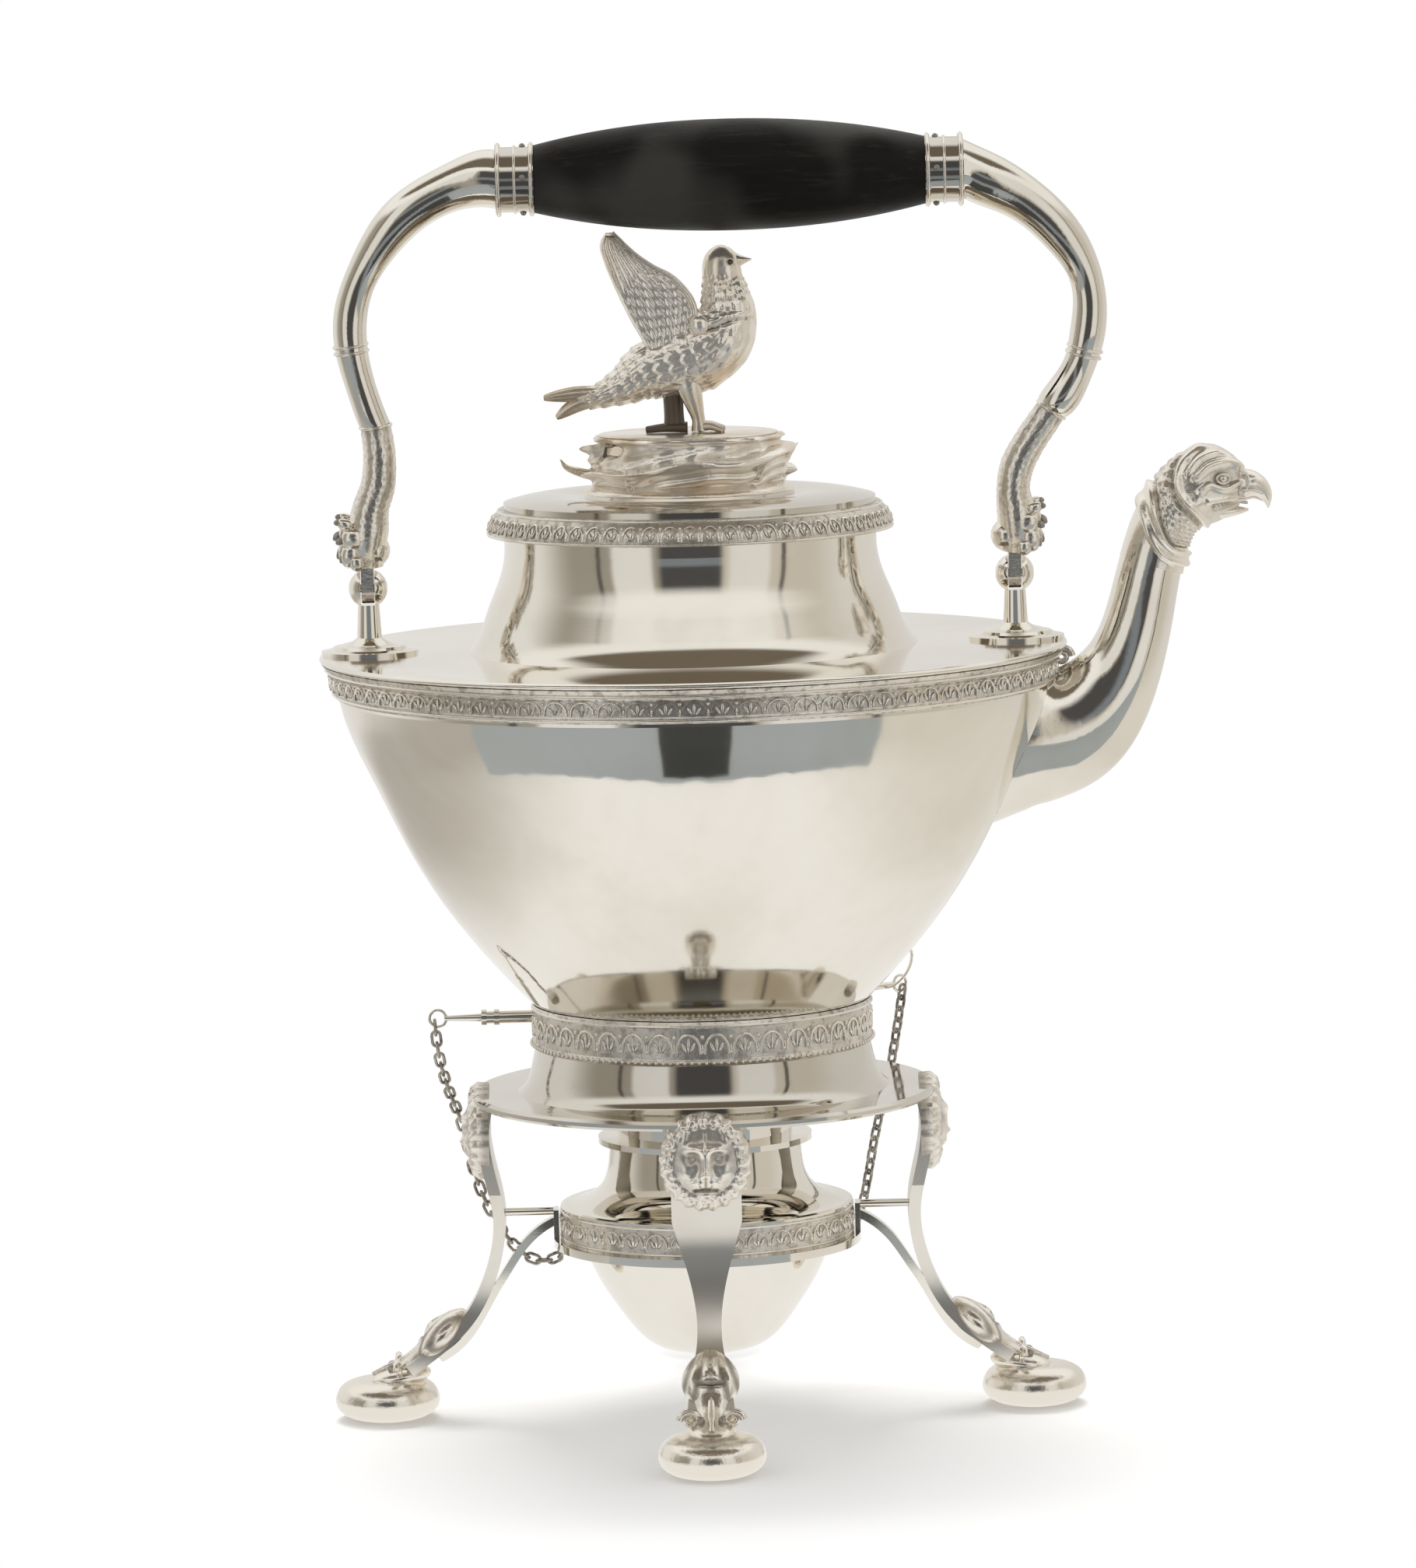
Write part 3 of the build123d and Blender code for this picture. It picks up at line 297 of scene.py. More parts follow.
def ebonised_wood(look):
    """Dark turned wood with a faint brown grain along the grip, and painted sheen: soft lighter
    patches of colour in place of highlights.
    """
    net = new_material(WOOD)
    place = net.place()
    grain = net.noise(net.stretched(place, (9.0, 160.0, 160.0)), 4.0, 5.0, 0.62, 0.6)
    streak = net.step(grain, 0.50, 0.72)
    pores = net.step(net.noise(net.stretched(place, (60.0, 900.0, 900.0)), 3.0, 2.0), 0.60, 0.75)
    # Painted sheen: lighter patches in the colour, standing in for soft highlights.
    patina_and_sheen = net.step(net.noise(place, 24.0, 2.0, 0.5), 0.46, 0.64)
    colour = net.mix(streak * 0.45, rgba(look.wood), rgba(look.wood_grain))
    colour = net.mix(patina_and_sheen * 0.8, colour, rgba(look.wood_sheen))
    rough = 0.44 + streak * 0.10 + pores * 0.14
    normal = net.bump(grain * 0.6 - pores * 0.5, 0.0002, 0.5)
    net.show(net.principled(colour, rough, normal, specular=0.14))


def cotton(look):
    """A woven wick, burnt at its top."""
    net = new_material(WICK)
    place = net.place()
    x, y, z = net.parts(place)
    weave = (x * 5200.0).wave() * (z * 5200.0 + y * 3000.0).wave()
    fluff = net.noise(place, 900.0, 3.0, 0.7)
    char = net.step(z, CHAR_FROM, CHAR_TO)
    colour = net.mix(char * (0.4 + fluff * 0.8), rgba(look.wick), rgba(look.char))
    normal = net.bump(weave * 0.5 + fluff, 0.0005, 0.7)
    net.show(net.principled(colour, 0.85 + fluff * 0.1, normal))


# ---- mesh helpers


def eased(points, count):
    """count points along a smooth curve through the given ones, of any dimension."""
    p = np.asarray(points, float)
    p = np.vstack([2 * p[0] - p[1], p, 2 * p[-1] - p[-2]])
    t = linspace(0, len(p) - 3, count)
    k = np.minimum(t.astype(int), len(p) - 4)
    f = (t - k)[:, None]
    a, b, c, d = p[k], p[k + 1], p[k + 2], p[k + 3]
    return 0.5 * (
        2 * b + (c - a) * f + (2 * a - 5 * b + 4 * c - d) * f**2 + (3 * b - a - 3 * c + d) * f**3
    )


def fade(value, low, high):
    """From 0 at low to 1 at high, smoothly."""
    t = clip((np.asarray(value, float) - low) / (high - low), 0, 1)
    return t * t * (3 - 2 * t)


def bell(value, wide):
    """1 at 0, falling softly to nothing on both sides."""
    return np.exp(-((value / wide) ** 2))


def hump(p, q, at_p, at_q, wide, tall):
    """A soft round bump on a plane."""
    return np.exp(-(((p - at_p) / wide) ** 2) - ((q - at_q) / tall) ** 2)


def unit(vectors):
    """Vectors of length 1 along the last axis."""
    return vectors / (np.linalg.norm(vectors, axis=-1, keepdims=True) + TINY)


def full_turn(count):
    """Angles once round, the last one short of the first."""
    return linspace(0, FULL, count, endpoint=False)


def skin_grid(rows, around, low=0.0, high=1.0):
    """A column of shares along a skin and a row of angles round it."""
    return linspace(low, high, rows)[:, None], full_turn(around)[None, :]


def scales(row, column):
    """Overlapping scales: 0 in the gaps, rising to 1 at each scale's tip."""
    across = row - np.floor(row)
    along = column + 0.5 * np.floor(row)
    off = 2 * np.abs(along - np.floor(along) - 0.5)
    tip = 0.30 + 0.66 * np.sqrt(clip(1 - off**2, 0, 1))
    inside = fade(tip - across, -0.04, 0.06)
    quill = 1 - 0.35 * bell(off, 0.14)
    return inside * (0.25 + 0.75 * across) * quill + (1 - inside) * 0.12


def turned_z(points, angle):
    """Points turned about the upright axis."""
    x, y, z = np.moveaxis(np.asarray(points, float), -1, 0)
    return stack([x * cos(angle) - y * sin(angle), x * sin(angle) + y * cos(angle), z], -1)


def leaned(points):
    """The handle rests a little forward of upright, turned about its pivots."""
    x, y, z = np.moveaxis(points, -1, 0)
    z = z - BALL_Z
    return stack([x, y * cos(LEAN) - z * sin(LEAN), BALL_Z + y * sin(LEAN) + z * cos(LEAN)], -1)


def lay_down(angle):
    """A 3 x 3 turn about Y by an angle in degrees."""
    return np.array(Matrix.Rotation(math.radians(angle), 3, "Y"))


def pushed(grid, height):
    """A grid of rings, each point moved outward by its height."""
    around = np.roll(grid, -1, axis=1) - np.roll(grid, 1, axis=1)
    out = unit(np.cross(around, np.gradient(grid, axis=0)))
    if np.sum(out * (grid - grid.mean(axis=1, keepdims=True))) < 0:
        out = -out
    return grid + out * height[..., None]


class Heap:
    """Points and faces gathered for one mesh, with a value for each point: high where the relief
    stands up, low where it is sunk and where shade is painted dark.
    """

    def __init__(self):
        self.points = []
        self.faces = []
        self.rise = []
        self.total = 0

    def add(self, points, faces, rise=1.0):
        points = np.asarray(points, float).reshape(-1, 3)
        start = self.total
        self.points.append(points)
        self.faces += [tuple(start + k for k in face) for face in faces]
        rise = clip(np.asarray(rise, float).reshape(-1), 0, 1)
        self.rise.append(np.broadcast_to(rise, (len(points),)))
        self.total += len(points)

    def tube(self, rings, rise=1.0, loop=False):
        """A closed skin over rings of points; its ends are capped unless it is a loop."""
        rings = np.asarray(rings, float)
        m, n = rings.shape[:2]
        faces = []
        for i in range(m if loop else m - 1):
            a, b = i * n, (i + 1) % m * n
            faces += [(a + j, a + (j + 1) % n, b + (j + 1) % n, b + j) for j in range(n)]
        if not loop:
            faces += [tuple(range(n)), tuple((m - 1) * n + j for j in range(n))]
        self.add(rings, faces, rise)

    def blob(self, at, half, tilt=0.0, rise=1.0, rings=9, around=14):
        """An egg with three half axes, tilted about Y by an angle in degrees."""
        v, u = skin_grid(rings, around, POLE, math.pi - POLE)
        egg = stack([sin(v) * cos(u), sin(v) * sin(u), cos(v) + 0 * u], -1)
        self.tube(egg * half @ lay_down(tilt).T + at, rise)

    def wire(self, path, radius, sides=8, loop=False, rise=1.0, flat=1.0):
        """A round wire along a path; radius is one number or one for each point."""
        path = np.asarray(path, float)
        if loop:
            way = np.roll(path, -1, axis=0) - np.roll(path, 1, axis=0)
        else:
            way = np.gradient(path, axis=0)
        way = unit(way)
        side = np.cross(way[0], ASKEW)
        turn = full_turn(sides)
        rings = []
        for at, go, thick in zip(path, way, np.broadcast_to(radius, len(path))):
            side = unit(side - go * np.dot(side, go))
            ring = np.outer(cos(turn), side) + np.outer(sin(turn) * flat, np.cross(go, side))
            rings.append(at + thick * ring)
        self.tube(rings, rise, loop)

    def lathe(self, profile, at=(0.0, 0.0), around=64, rise=1.0):
        """Turns a run of (radius, height) points round an upright axis."""
        radius, height = np.array(profile, float).T[..., None]
        radius = np.maximum(radius, NEAR_AXIS)
        turn = full_turn(around)
        x, y = at[0] + radius * cos(turn), at[1] + radius * sin(turn)
        self.tube(stack([x, y, height + 0 * x], -1), rise)

    def make(self, name, material, body, moved=None, replaced=None, slot="cast_silver"):
        """Builds the piece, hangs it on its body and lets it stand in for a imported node."""
        points = np.vstack(self.points)
        if moved is not None:
            points = moved(points)
        points = (points + (AXIS_X, 0, 0)) * MM
        mesh = bpy.data.meshes.new(name)
        mesh.from_pydata(points.tolist(), [], self.faces)
        rise = mesh.attributes.new("rise", "FLOAT", "POINT")
        rise.data.foreach_set("value", np.concatenate(self.rise).astype(np.float32))
        work = bmesh.new()
        work.from_mesh(mesh)
        bmesh.ops.recalc_face_normals(work, faces=work.faces)
        work.to_mesh(mesh)
        work.free()
        mesh.shade_smooth()
        mesh.set_sharp_from_angle(angle=CREASE)
        mesh.materials.append(bpy.data.materials[material])
        piece = bpy.data.objects.new(name, mesh)
        bpy.context.scene.collection.objects.link(piece)
        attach(piece, body)
        if replaced:
            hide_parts(replaced)


def ring_at(x, z, dx, dz, half_across, half_y, sides):
    """An ellipse of points square to the way (dx, dz) in the XZ plane."""
    length = math.hypot(dx, dz)
    turn = full_turn(sides)
    across = half_across * sin(turn) / length
    return stack([x - dz * across, half_y * cos(turn), z + dx * across], -1)


def rings_along(line, sides, count):
    """Rings square to a line of (x, z, half across, half deep), smoothly set."""
    run = eased(line, count)
    way = np.gradient(run[:, :2], axis=0)
    return np.array([ring_at(x, z, *go, a, b, sides) for (x, z, a, b), go in zip(run, way)])


def rings_across(pairs, sides, count):
    """Rings over pairs of opposite points (x, z) with a half width in Y."""
    run = eased([(*a, *b, half) for a, b, half in pairs], count)
    ax, az, bx, bz, half = run.T[..., None]
    c, s = cos(full_turn(sides)), sin(full_turn(sides))
    x = (ax + bx) / 2 + (ax - bx) / 2 * c
    z = (az + bz) / 2 + (az - bz) / 2 * c
    return stack([x, half * s, z], -1)


# ---- ornament bands


def on_band(points, count, k, foot, top, belly=0.0):
    """Bends (along, up, out) onto a band whose edges are foot and top, as (radius, z)."""
    p = np.asarray(points, float)
    share = p[..., 1]
    radius = foot[0] + (top[0] - foot[0]) * share
    angle = (k + p[..., 0]) * FULL / count
    r = radius + p[..., 2] + belly * 4 * share * (1 - share)
    z = foot[1] + (top[1] - foot[1]) * share
    return stack([r * cos(angle), r * sin(angle), z], -1)


def flat_wire(path, wide, tall, stretch):
    """Rings of a half-sunk ridge along a path of (along, up) shares of one motif."""
    path = np.asarray(path, float)
    real = path * stretch
    way = unit(np.gradient(real, axis=0))
    side = stack([-way[:, 1], way[:, 0]], -1)
    rings = []
    for turn in full_turn(6):
        at = real + side * wide * cos(turn)
        out = np.full(len(path), tall * sin(turn))
        rings.append(np.column_stack([at / stretch, out]))
    return np.transpose(np.array(rings), (1, 0, 2))


def leaf_band(heap, count, foot, top, rise_by, belly=0.0):
    """A run of arched leaves with a bud between each two."""
    height = math.hypot(top[0] - foot[0], top[1] - foot[1])
    wide = FULL * (foot[0] + top[0]) / 2 / count
    turn = linspace(0, math.pi, 9)
    arch = np.column_stack([0.43 * cos(turn), 0.12 + 0.74 * sin(turn) ** 0.8])
    skins = [(flat_wire(arch, 0.060 * height, rise_by, np.array([wide, height])), 0.9)]
    v, u = linspace(0, 1, 5)[:, None], full_turn(6)[None, :]
    plump = sin(math.pi * clip(v, 0.04, 0.96)) ** 0.7
    for lean, long in ((-0.20, 0.24), (0.0, 0.34), (0.20, 0.24)):
        along = lean * (0.3 + 0.9 * v) + 0.075 * plump * cos(u)
        up = 0.16 + 2 * long * v * (1 - 0.1 * abs(lean)) * 0.92 + 0 * u
        out = rise_by * 1.05 * plump * sin(u)
        skins.append((stack([along, up, out], -1), clip(out / rise_by, 0.2, 1)))
    for k in range(count):
        for skin, rise in skins:
            heap.tube(on_band(skin, count, k, foot, top, belly), rise)
        for up, slim, tall, rise in ((0.76, 0.085, 0.10, 1.0), (0.30, 0.06, 0.20, 0.7)):
            bud = on_band((0.5, up, 0.0), count, k, foot, top, belly)
            heap.blob(bud, (slim * wide, slim * wide, tall * height), 0, rise, 5, 6)


def edge_line(heap, radius, z, thick, around):
    """A fine wire round the kettle's axis."""
    turn = full_turn(around)
    path = stack([radius * cos(turn), radius * sin(turn), z + 0 * turn], -1)
    heap.wire(path, thick, sides=6, loop=True)


def bead_row(heap, radius, z, size, count):
    """A row of beads round the kettle's axis."""
    for angle in full_turn(count):
        at = (radius * cos(angle), radius * sin(angle), z)
        heap.blob(at, (size, size, size), rings=4, around=6)


# ---- cast pieces


# Soft forms of the lion's face, alike on both sides: height, then place and half widths
# across and up, as shares of the oval.
LION_FORMS = (
    (1.0, 0.25, 0.27, 0.17, 0.075),  # brow
    (0.8, 0.10, 0.22, 0.08, 0.10),  # brow beside the nose
    (1.0, 0.0, -0.22, 0.13, 0.08),  # tip of the nose
    (1.25, 0.13, -0.36, 0.15, 0.12),  # muzzle
    (0.9, 0.0, -0.60, 0.15, 0.09),  # chin
    (-1.25, 0.25, 0.10, 0.115, 0.085),  # eye socket
    (1.0, 0.245, 0.095, 0.050, 0.042),  # eye
    (0.75, 0.38, -0.16, 0.15, 0.17),  # cheek
    (1.0, 0.46, 0.47, 0.11, 0.12),  # ear
    (-0.8, 0.46, 0.46, 0.045, 0.06),  # hollow of the ear
)


def lion_mask(relief):
    """A lion's face in its mane, on an oval that bulges from the leg."""
    n, m = 46, 120
    u, turn = skin_grid(n, m, 0.015)
    wide, high = u * cos(turn), u * sin(turn)
    p, q = wide / FACE, high / FACE
    side = np.abs(p)
    dome = np.sqrt(clip(1 - (0.97 * u) ** 2, 0, 1))
    face = fade(u, 0.80, 0.66)
    locks = 0.5 + 0.5 * sin(turn * 23 + 5.0 * u)
    tufts = 0.5 + 0.5 * sin(turn * 34 - 9.0 * u + 1.3)
    rows = 0.5 + 0.5 * cos((u - 0.72) * 34)
    mane = (1 - face) * (0.35 + 0.75 * locks * rows + 0.45 * tufts * (1 - rows))
    forms = sum(share * hump(side, q, *place) for share, *place in LION_FORMS)
    nose = 1.15 * bell(p, 0.085) * fade(q, -0.30, -0.18) * fade(q, 0.46, 0.22)
    mouth = -1.1 * bell(q + 0.485 + 0.5 * side**2, 0.030) * fade(side, 0.30, 0.20)
    split = -0.5 * bell(p, 0.022) * fade(q, -0.46, -0.42) * fade(q, -0.26, -0.32)
    furrow = -0.35 * bell(p, 0.02) * fade(q, 0.16, 0.24) * fade(q, 0.62, 0.5)
    whiskers = 0.5 + 0.5 * cos((q + 0.5 * side) * 90)
    whiskers = -0.25 * whiskers * hump(side, q, 0.21, -0.36, 0.12, 0.1)
    height = (forms + nose + mouth + split + furrow + whiskers) * face * 0.95 + mane * 0.95
    out = MASK_FRONT + (MASK_DEEP - 1.2) * dome + height * fade(u, 1.02, 0.90) * relief
    edge = 1 + 0.028 * sin(turn * 21) * fade(u, 0.8, 1.0)
    front = stack([out, -wide * MASK_W * edge, MASK_Z + high * MASK_H * edge], -1)
    rise = 0.34 + 0.42 * height
    # The oval's side, back to the leg, is set to zero: painted dark, as shade round the mask's
    # edge.
    u = linspace(1, 0.02, 6)[:, None]
    wide, high = u * cos(turn) * MASK_W, u * sin(turn) * MASK_H
    back = stack([np.full((6, m), MASK_BACK), -wide, MASK_Z + high], -1)
    heap = Heap()
    heap.tube(np.concatenate([front, back]), np.concatenate([rise, np.zeros((6, m))]))
    return heap


BUN = [
    (7.0, 0.0),
    (10.9, 1.0),
    (13.6, 2.9),
    (BUN_R, 5.8),
    (13.0, 9.2),
    (9.5, 11.0),
    (4.0, 11.4),
    (0.0, 11.4),
]
FOOT_NECK = [
    (79.0, 18.6, 3.2, 5.0),
    (82.6, 15.2, 3.0, 4.2),
    (87.0, 12.6, 2.8, 4.4),
    (92.0, 10.8, 2.2, 4.8),
]


def bun_foot(relief):
    """A flattened bun under a lion's paw, whose leg wears a leaf."""
    heap = Heap()
    heap.lathe([(0.0, 0.0), (6.4, 0.0), (7.0, 0.0), *eased(BUN, 34)[1:]], (FOOT_R, 0), 72)
    # A low pad with a ribbed neck lies on the bun, with a small blob on each side painted dark as
    # the shade of a hollow.
    heap.blob((FOOT_R - 3.4, 0, 11.6), (9.0, 6.6, 3.2), 10, 0.8, 14, 26)
    heap.tube(rings_along(FOOT_NECK, 26, 22), 0.6)
    rib = [(80.5, 0, 19.6), (84.8, 0, 16.6), (89.4, 0, 14.6), (94.0, 0, 12.4)]
    heap.wire(eased(rib, 16), linspace(1.25, 0.8, 16), 9, rise=0.9)
    # The leaf on the leg: a scaled bud laid along the strap.
    v, turn = skin_grid(34, 56, 0.03, 0.97)
    plump = sin(math.pi * v) ** 0.62
    across = cos(turn) * plump
    vee = 0.5 + 0.5 * cos((np.abs(across) * 1.5 + v * 1.1) * 9)
    tip = bell(across, 0.42 * clip(v, 0.2, 1)) * fade(v, 0.40, 0.52)
    vein = bell(across, 0.05) * fade(v, 0.42, 0.5)
    slit = bell(v - 0.34, 0.028) * fade(np.abs(across), 0.42, 0.30)
    scale = (0.15 + 0.65 * vee + 0.7 * tip - 0.5 * vein - 1.2 * slit) * relief
    wide = 8.5 * plump * (1 - 0.16 * v)
    deep = 3.6 * plump + 1.0 * scale * plump
    bud = stack([deep * sin(turn), wide * cos(turn), 10.4 * (2 * v - 1) + 0 * turn], -1)
    heap.tube(bud @ lay_down(-46.0).T + (74.8, 0, 22.9), scale)
    curl, size = linspace(0, 1.55 * FULL, 30), linspace(3.0, 0.5, 30)
    for side in BOTH:
        y, z = side * (5.6 + size * cos(curl)), 14.6 + 0.8 * size * sin(curl)
        path = stack([85.6 + 0.5 * size, y, z], -1)
        heap.wire(path, linspace(1.05, 0.5, 30), 7, rise=0.8)
        # A blob painted dark beside the pad: the painted shade of a hollow.
        heap.blob((88.4, side * 2.9, 14.6), (1.5, 1.1, 1.2), 0, 0.0, 8, 10)
    return heap


PAW_LEFT = [
    (-85.4, 277.0, 4.1, 4.2),
    (-84.6, 269.0, 4.3, 4.5),
    (-85.2, 261.0, 4.6, 5.0),
    (-87.4, 254.4, 4.9, 5.6),
    (-88.4, 248.4, 5.6, 6.4),
    (-89.0, 242.8, 5.3, 6.2),
    (-89.1, 238.3, 4.6, 5.0),
]
PAW_RIGHT = [
    (99.6, 277.0, 4.2, 4.2),
    (94.0, 269.0, 4.3, 4.5),
    (90.0, 261.6, 4.5, 4.9),
    (88.9, 254.8, 4.5, 5.5),
    (89.8, 248.4, 5.4, 6.4),
    (90.0, 242.8, 5.3, 6.2),
    (89.8, 238.3, 4.6, 5.0),
]
LINE_LEFT = [
    (-81.4, 328.7),
    (-86.9, 320.2),
    (-90.3, 311.5),
    (-91.6, 302.0),
    (-90.6, 293.5),
    (-88.4, 285.0),
]
LINE_RIGHT = [
    (104.6, 323.6),
    (109.0, 315.5),
    (110.6, 306.0),
    (109.6, 296.0),
    (106.2, 286.0),
    (99.6, 277.0),
]


# One toe of a handle's paw: out from the post, how it spreads, up from the toe's place,
# half sizes, tilt, shade, rings and points round.
TOE = (
    (0.0, 1.0, 0.0, (3.2, 1.75, 3.2), 24, 0.9, 10, 12),
    (0.9, 1.0, -4.6, (2.6, 1.6, 3.4), -12, 0.85, 9, 12),
    (3.4, 1.0, -0.4, (1.0, 0.7, 1.5), -60, 0.05, 7, 8),
    (2.9, 1.0, -5.0, (0.9, 0.7, 1.7), -20, 0.05, 7, 8),
    (-1.0, 1.25, -6.6, (2.0, 1.2, 2.2), 0, 0.7, 8, 10),
)


def handle_paw(line, side, relief):
    """A furred lion's leg that ends in a paw, its claws outward."""
    heap = Heap()
    n, m = 84, 60
    v, turn = skin_grid(n, m)
    locks = scales(v * 24, turn / FULL * 17 + 0.8 * sin(v * 9))
    fur = 0.5 + 0.5 * sin(turn * 9 + 6 * sin(v * 21))
    height = (0.75 * locks + 0.25 * fur) * fade(v, 0.0, 0.05) * fade(v, 0.80, 0.58)
    skin = pushed(rings_along(line, m, n), height * 0.24 * relief)
    heap.tube(skin, 0.40 + 0.45 * height + 0.4 * fade(v, 0.55, 0.8))
    middle = POST_X * side
    for place in (-1.5, -0.5, 0.5, 1.5):
        x = middle + side * (4.9 - 0.9 * abs(place))
        y, z = place * 3.3, 247.4 - 0.6 * abs(place)
        for out, spread, up, half, tilt, rise, rings, around in TOE:
            at = (x + side * out, y * spread, z + up)
            heap.blob(at, half, side * tilt, rise, rings, around)
    for y in (-4.6, 4.6):
        heap.blob((middle + side * 5.6, y, 250.6), (2.4, 1.3, 1.6), side * -24, 0.8, 8, 10)
        heap.blob((middle + side * 7.6, y, 251.2), (1.1, 0.9, 0.9), 0, 0.0, 7, 8)
    heap.blob((middle - side * 2.4, 0, 242.6), (4.0, 5.6, 4.4), 0, 0.85, 10, 16)
    # The tongue between the two halves of the ball, square above and round below.
    turn = full_turn(48)
    up, out = sin(turn), np.abs(cos(turn))
    reach = np.minimum(TONGUE_TOP / np.maximum(up, 1e-3), TONGUE_R / np.maximum(out, 1e-3))
    reach = np.where(up > 0, reach, TONGUE_R)
    low, high = middle - TONGUE_T / 2, middle + TONGUE_T / 2
    rings = []
    for t, r in zip(turn, reach):
        corners = ((low, EYE_HOLE), (high, EYE_HOLE), (high, r), (low, r))
        rings.append([(x, q * cos(t), BALL_Z + q * sin(t)) for x, q in corners])
    heap.tube(rings, 0.6, loop=True)
    return heap


def arm_trims(heap, line, share, radius):
    """Two fine rings close together round an arm, at a share of its line."""
    run = eased(line, 101)
    k = int(round(share * 100))
    way = unit(np.gradient(run, axis=0)[k])
    for step in (-0.9, 0.9):
        ring = ring_at(*(run[k] + way * step), *way, radius, radius, 40)
        heap.wire(ring, 0.45, 7, loop=True)


def ferrule_trims(heap, side):
    """Three rings round a ferrule and four pin heads between them."""
    inner = GRIP_X + side * GRIP_HALF
    pin_r = FERRULE_R - 0.6
    edge = 0.7
    for out, radius, thick in (
        (edge, FERRULE_R, 0.55),
        (FERRULE_L - edge, FERRULE_R, 0.55),
        (FERRULE_L / 2, pin_r, 0.4),
    ):
        x, turn = inner + side * out, full_turn(60)
        y, z = radius * cos(turn), GRIP_Z + radius * sin(turn)
        heap.wire(stack([x + 0 * y, y, z], -1), thick, 7, loop=True)
    for turn in (-100, -10, 80, 170):
        a = math.radians(turn)
        at = (inner + side * 3.0, pin_r * cos(a), GRIP_Z + pin_r * sin(a))
        heap.blob(at, (0.9, 0.9, 0.9), 0, 0.2, 6, 10)


# ---- eagle's head

HEAD = [
    ((117.9, 236.2), (135.2, 230.6), 8.85),
    ((119.6, 241.5), (136.6, 237.6), 8.9),
    ((121.4, 246.4), (137.2, 239.6), 9.5),
    ((124.6, 252.6), (138.6, 242.2), 9.5),
    ((129.4, 258.9), (141.4, 243.8), 9.3),
    ((135.8, 264.0), (145.0, 245.0), 8.8),
    ((143.0, 266.2), (148.2, 246.8), 7.6),
    ((149.0, 263.4), (150.4, 248.8), 5.8),
    ((151.8, 260.0), (151.4, 250.4), 4.4),
]
BEAK = [
    ((146.6, 261.0), (148.0, 250.8), 5.4),
    ((151.2, 259.4), (151.0, 250.8), 5.0),
    ((154.8, 258.6), (153.6, 251.4), 4.3),
    ((157.6, 256.9), (155.4, 251.4), 3.4),
    ((159.4, 254.4), (156.9, 250.7), 2.5),
    ((160.0, 251.4), (158.0, 249.4), 1.6),
    ((159.2, 248.3), (158.8, 248.1), 0.4),
]
JAW = [
    ((141.0, 250.0), (141.6, 244.8), 5.8),
    ((146.0, 249.3), (146.0, 245.4), 4.8),
    ((150.2, 248.9), (150.4, 246.4), 3.4),
    ((153.4, 248.2), (153.4, 247.4), 1.2),
]
EYE = (146.2, 257.0)
COLLAR_EDGE = [
    (122.8, 254.5),
    (123.3, 249.0),
    (124.6, 243.0),
    (127.0, 237.6),
    (130.4, 234.4),
    (135.4, 232.6),
]


def above_edge(x, z, edge):
    """How far each point of a side view lies above a curved edge, below it being negative."""
    line = eased(edge, 60)
    way = unit(np.gradient(line, axis=0))
    dx, dz = x[..., None] - line[:, 0], z[..., None] - line[:, 1]
    near = np.argmin(dx**2 + dz**2, axis=-1)[..., None]
    dx = np.take_along_axis(dx, near, -1)[..., 0]
    dz = np.take_along_axis(dz, near, -1)[..., 0]
    go = way[near[..., 0]]
    return go[..., 0] * dz - go[..., 1] * dx


def ridge(x, z, wide, path):
    """A soft raised line along a path in the side view."""
    line = eased(path, 40)
    off = np.hypot(x[..., None] - line[:, 0], z[..., None] - line[:, 1]).min(-1)
    return bell(off, wide)


FACE_EDGE = [(139.6, 266.4), (134.4, 262.0), (132.4, 256.6), (133.6, 251.4), (137.6, 247.0)]
# Raised and sunk lines of the head in the side view: height, half width and path.
EAGLE_LINES = (
    (1.5, 0.95, [(151.6, 259.6), (147.6, 261.2), (142.6, 260.4), (138.8, 257.4)]),  # brow
    (0.8, 0.8, [(150.6, 255.6), (146.6, 254.2), (142.4, 255.4), (139.6, 253.4)]),  # eyelid
    (0.9, 0.75, [(149.6, 263.0), (144.6, 264.0), (139.8, 262.2), (136.4, 258.4)]),  # crown
    (0.8, 0.7, [(151.6, 251.6), (146.6, 251.4), (142.0, 251.0)]),  # lip
    (-1.4, 0.6, [(152.0, 249.8), (147.0, 249.6), (143.6, 249.2)]),  # gape
)
# Wires on both sides of the beak: thickness, shade and path.
BEAK_ROOT = [(151.0, 5.3, 259.6), (152.9, 5.0, 257.6), (153.0, 4.8, 254.6), (151.6, 5.2, 252.2)]
BEAK_LIP = [(146.6, 5.8, 251.0), (151.0, 5.0, 250.9), (154.6, 4.0, 251.4), (157.2, 2.8, 250.4)]
BEAK_LINES = (
    (0.62, 0.85, BEAK_ROOT),
    (0.42, 0.3, [(151.6, 5.2, 253.6), (154.4, 4.5, 253.4), (157.2, 3.5, 252.2)]),
    (0.5, 0.85, BEAK_LIP),
    (0.8, 0.2, [(144.0, 1.6, 248.9), (149.0, 1.2, 250.3), (153.2, 0.7, 249.7)]),
)


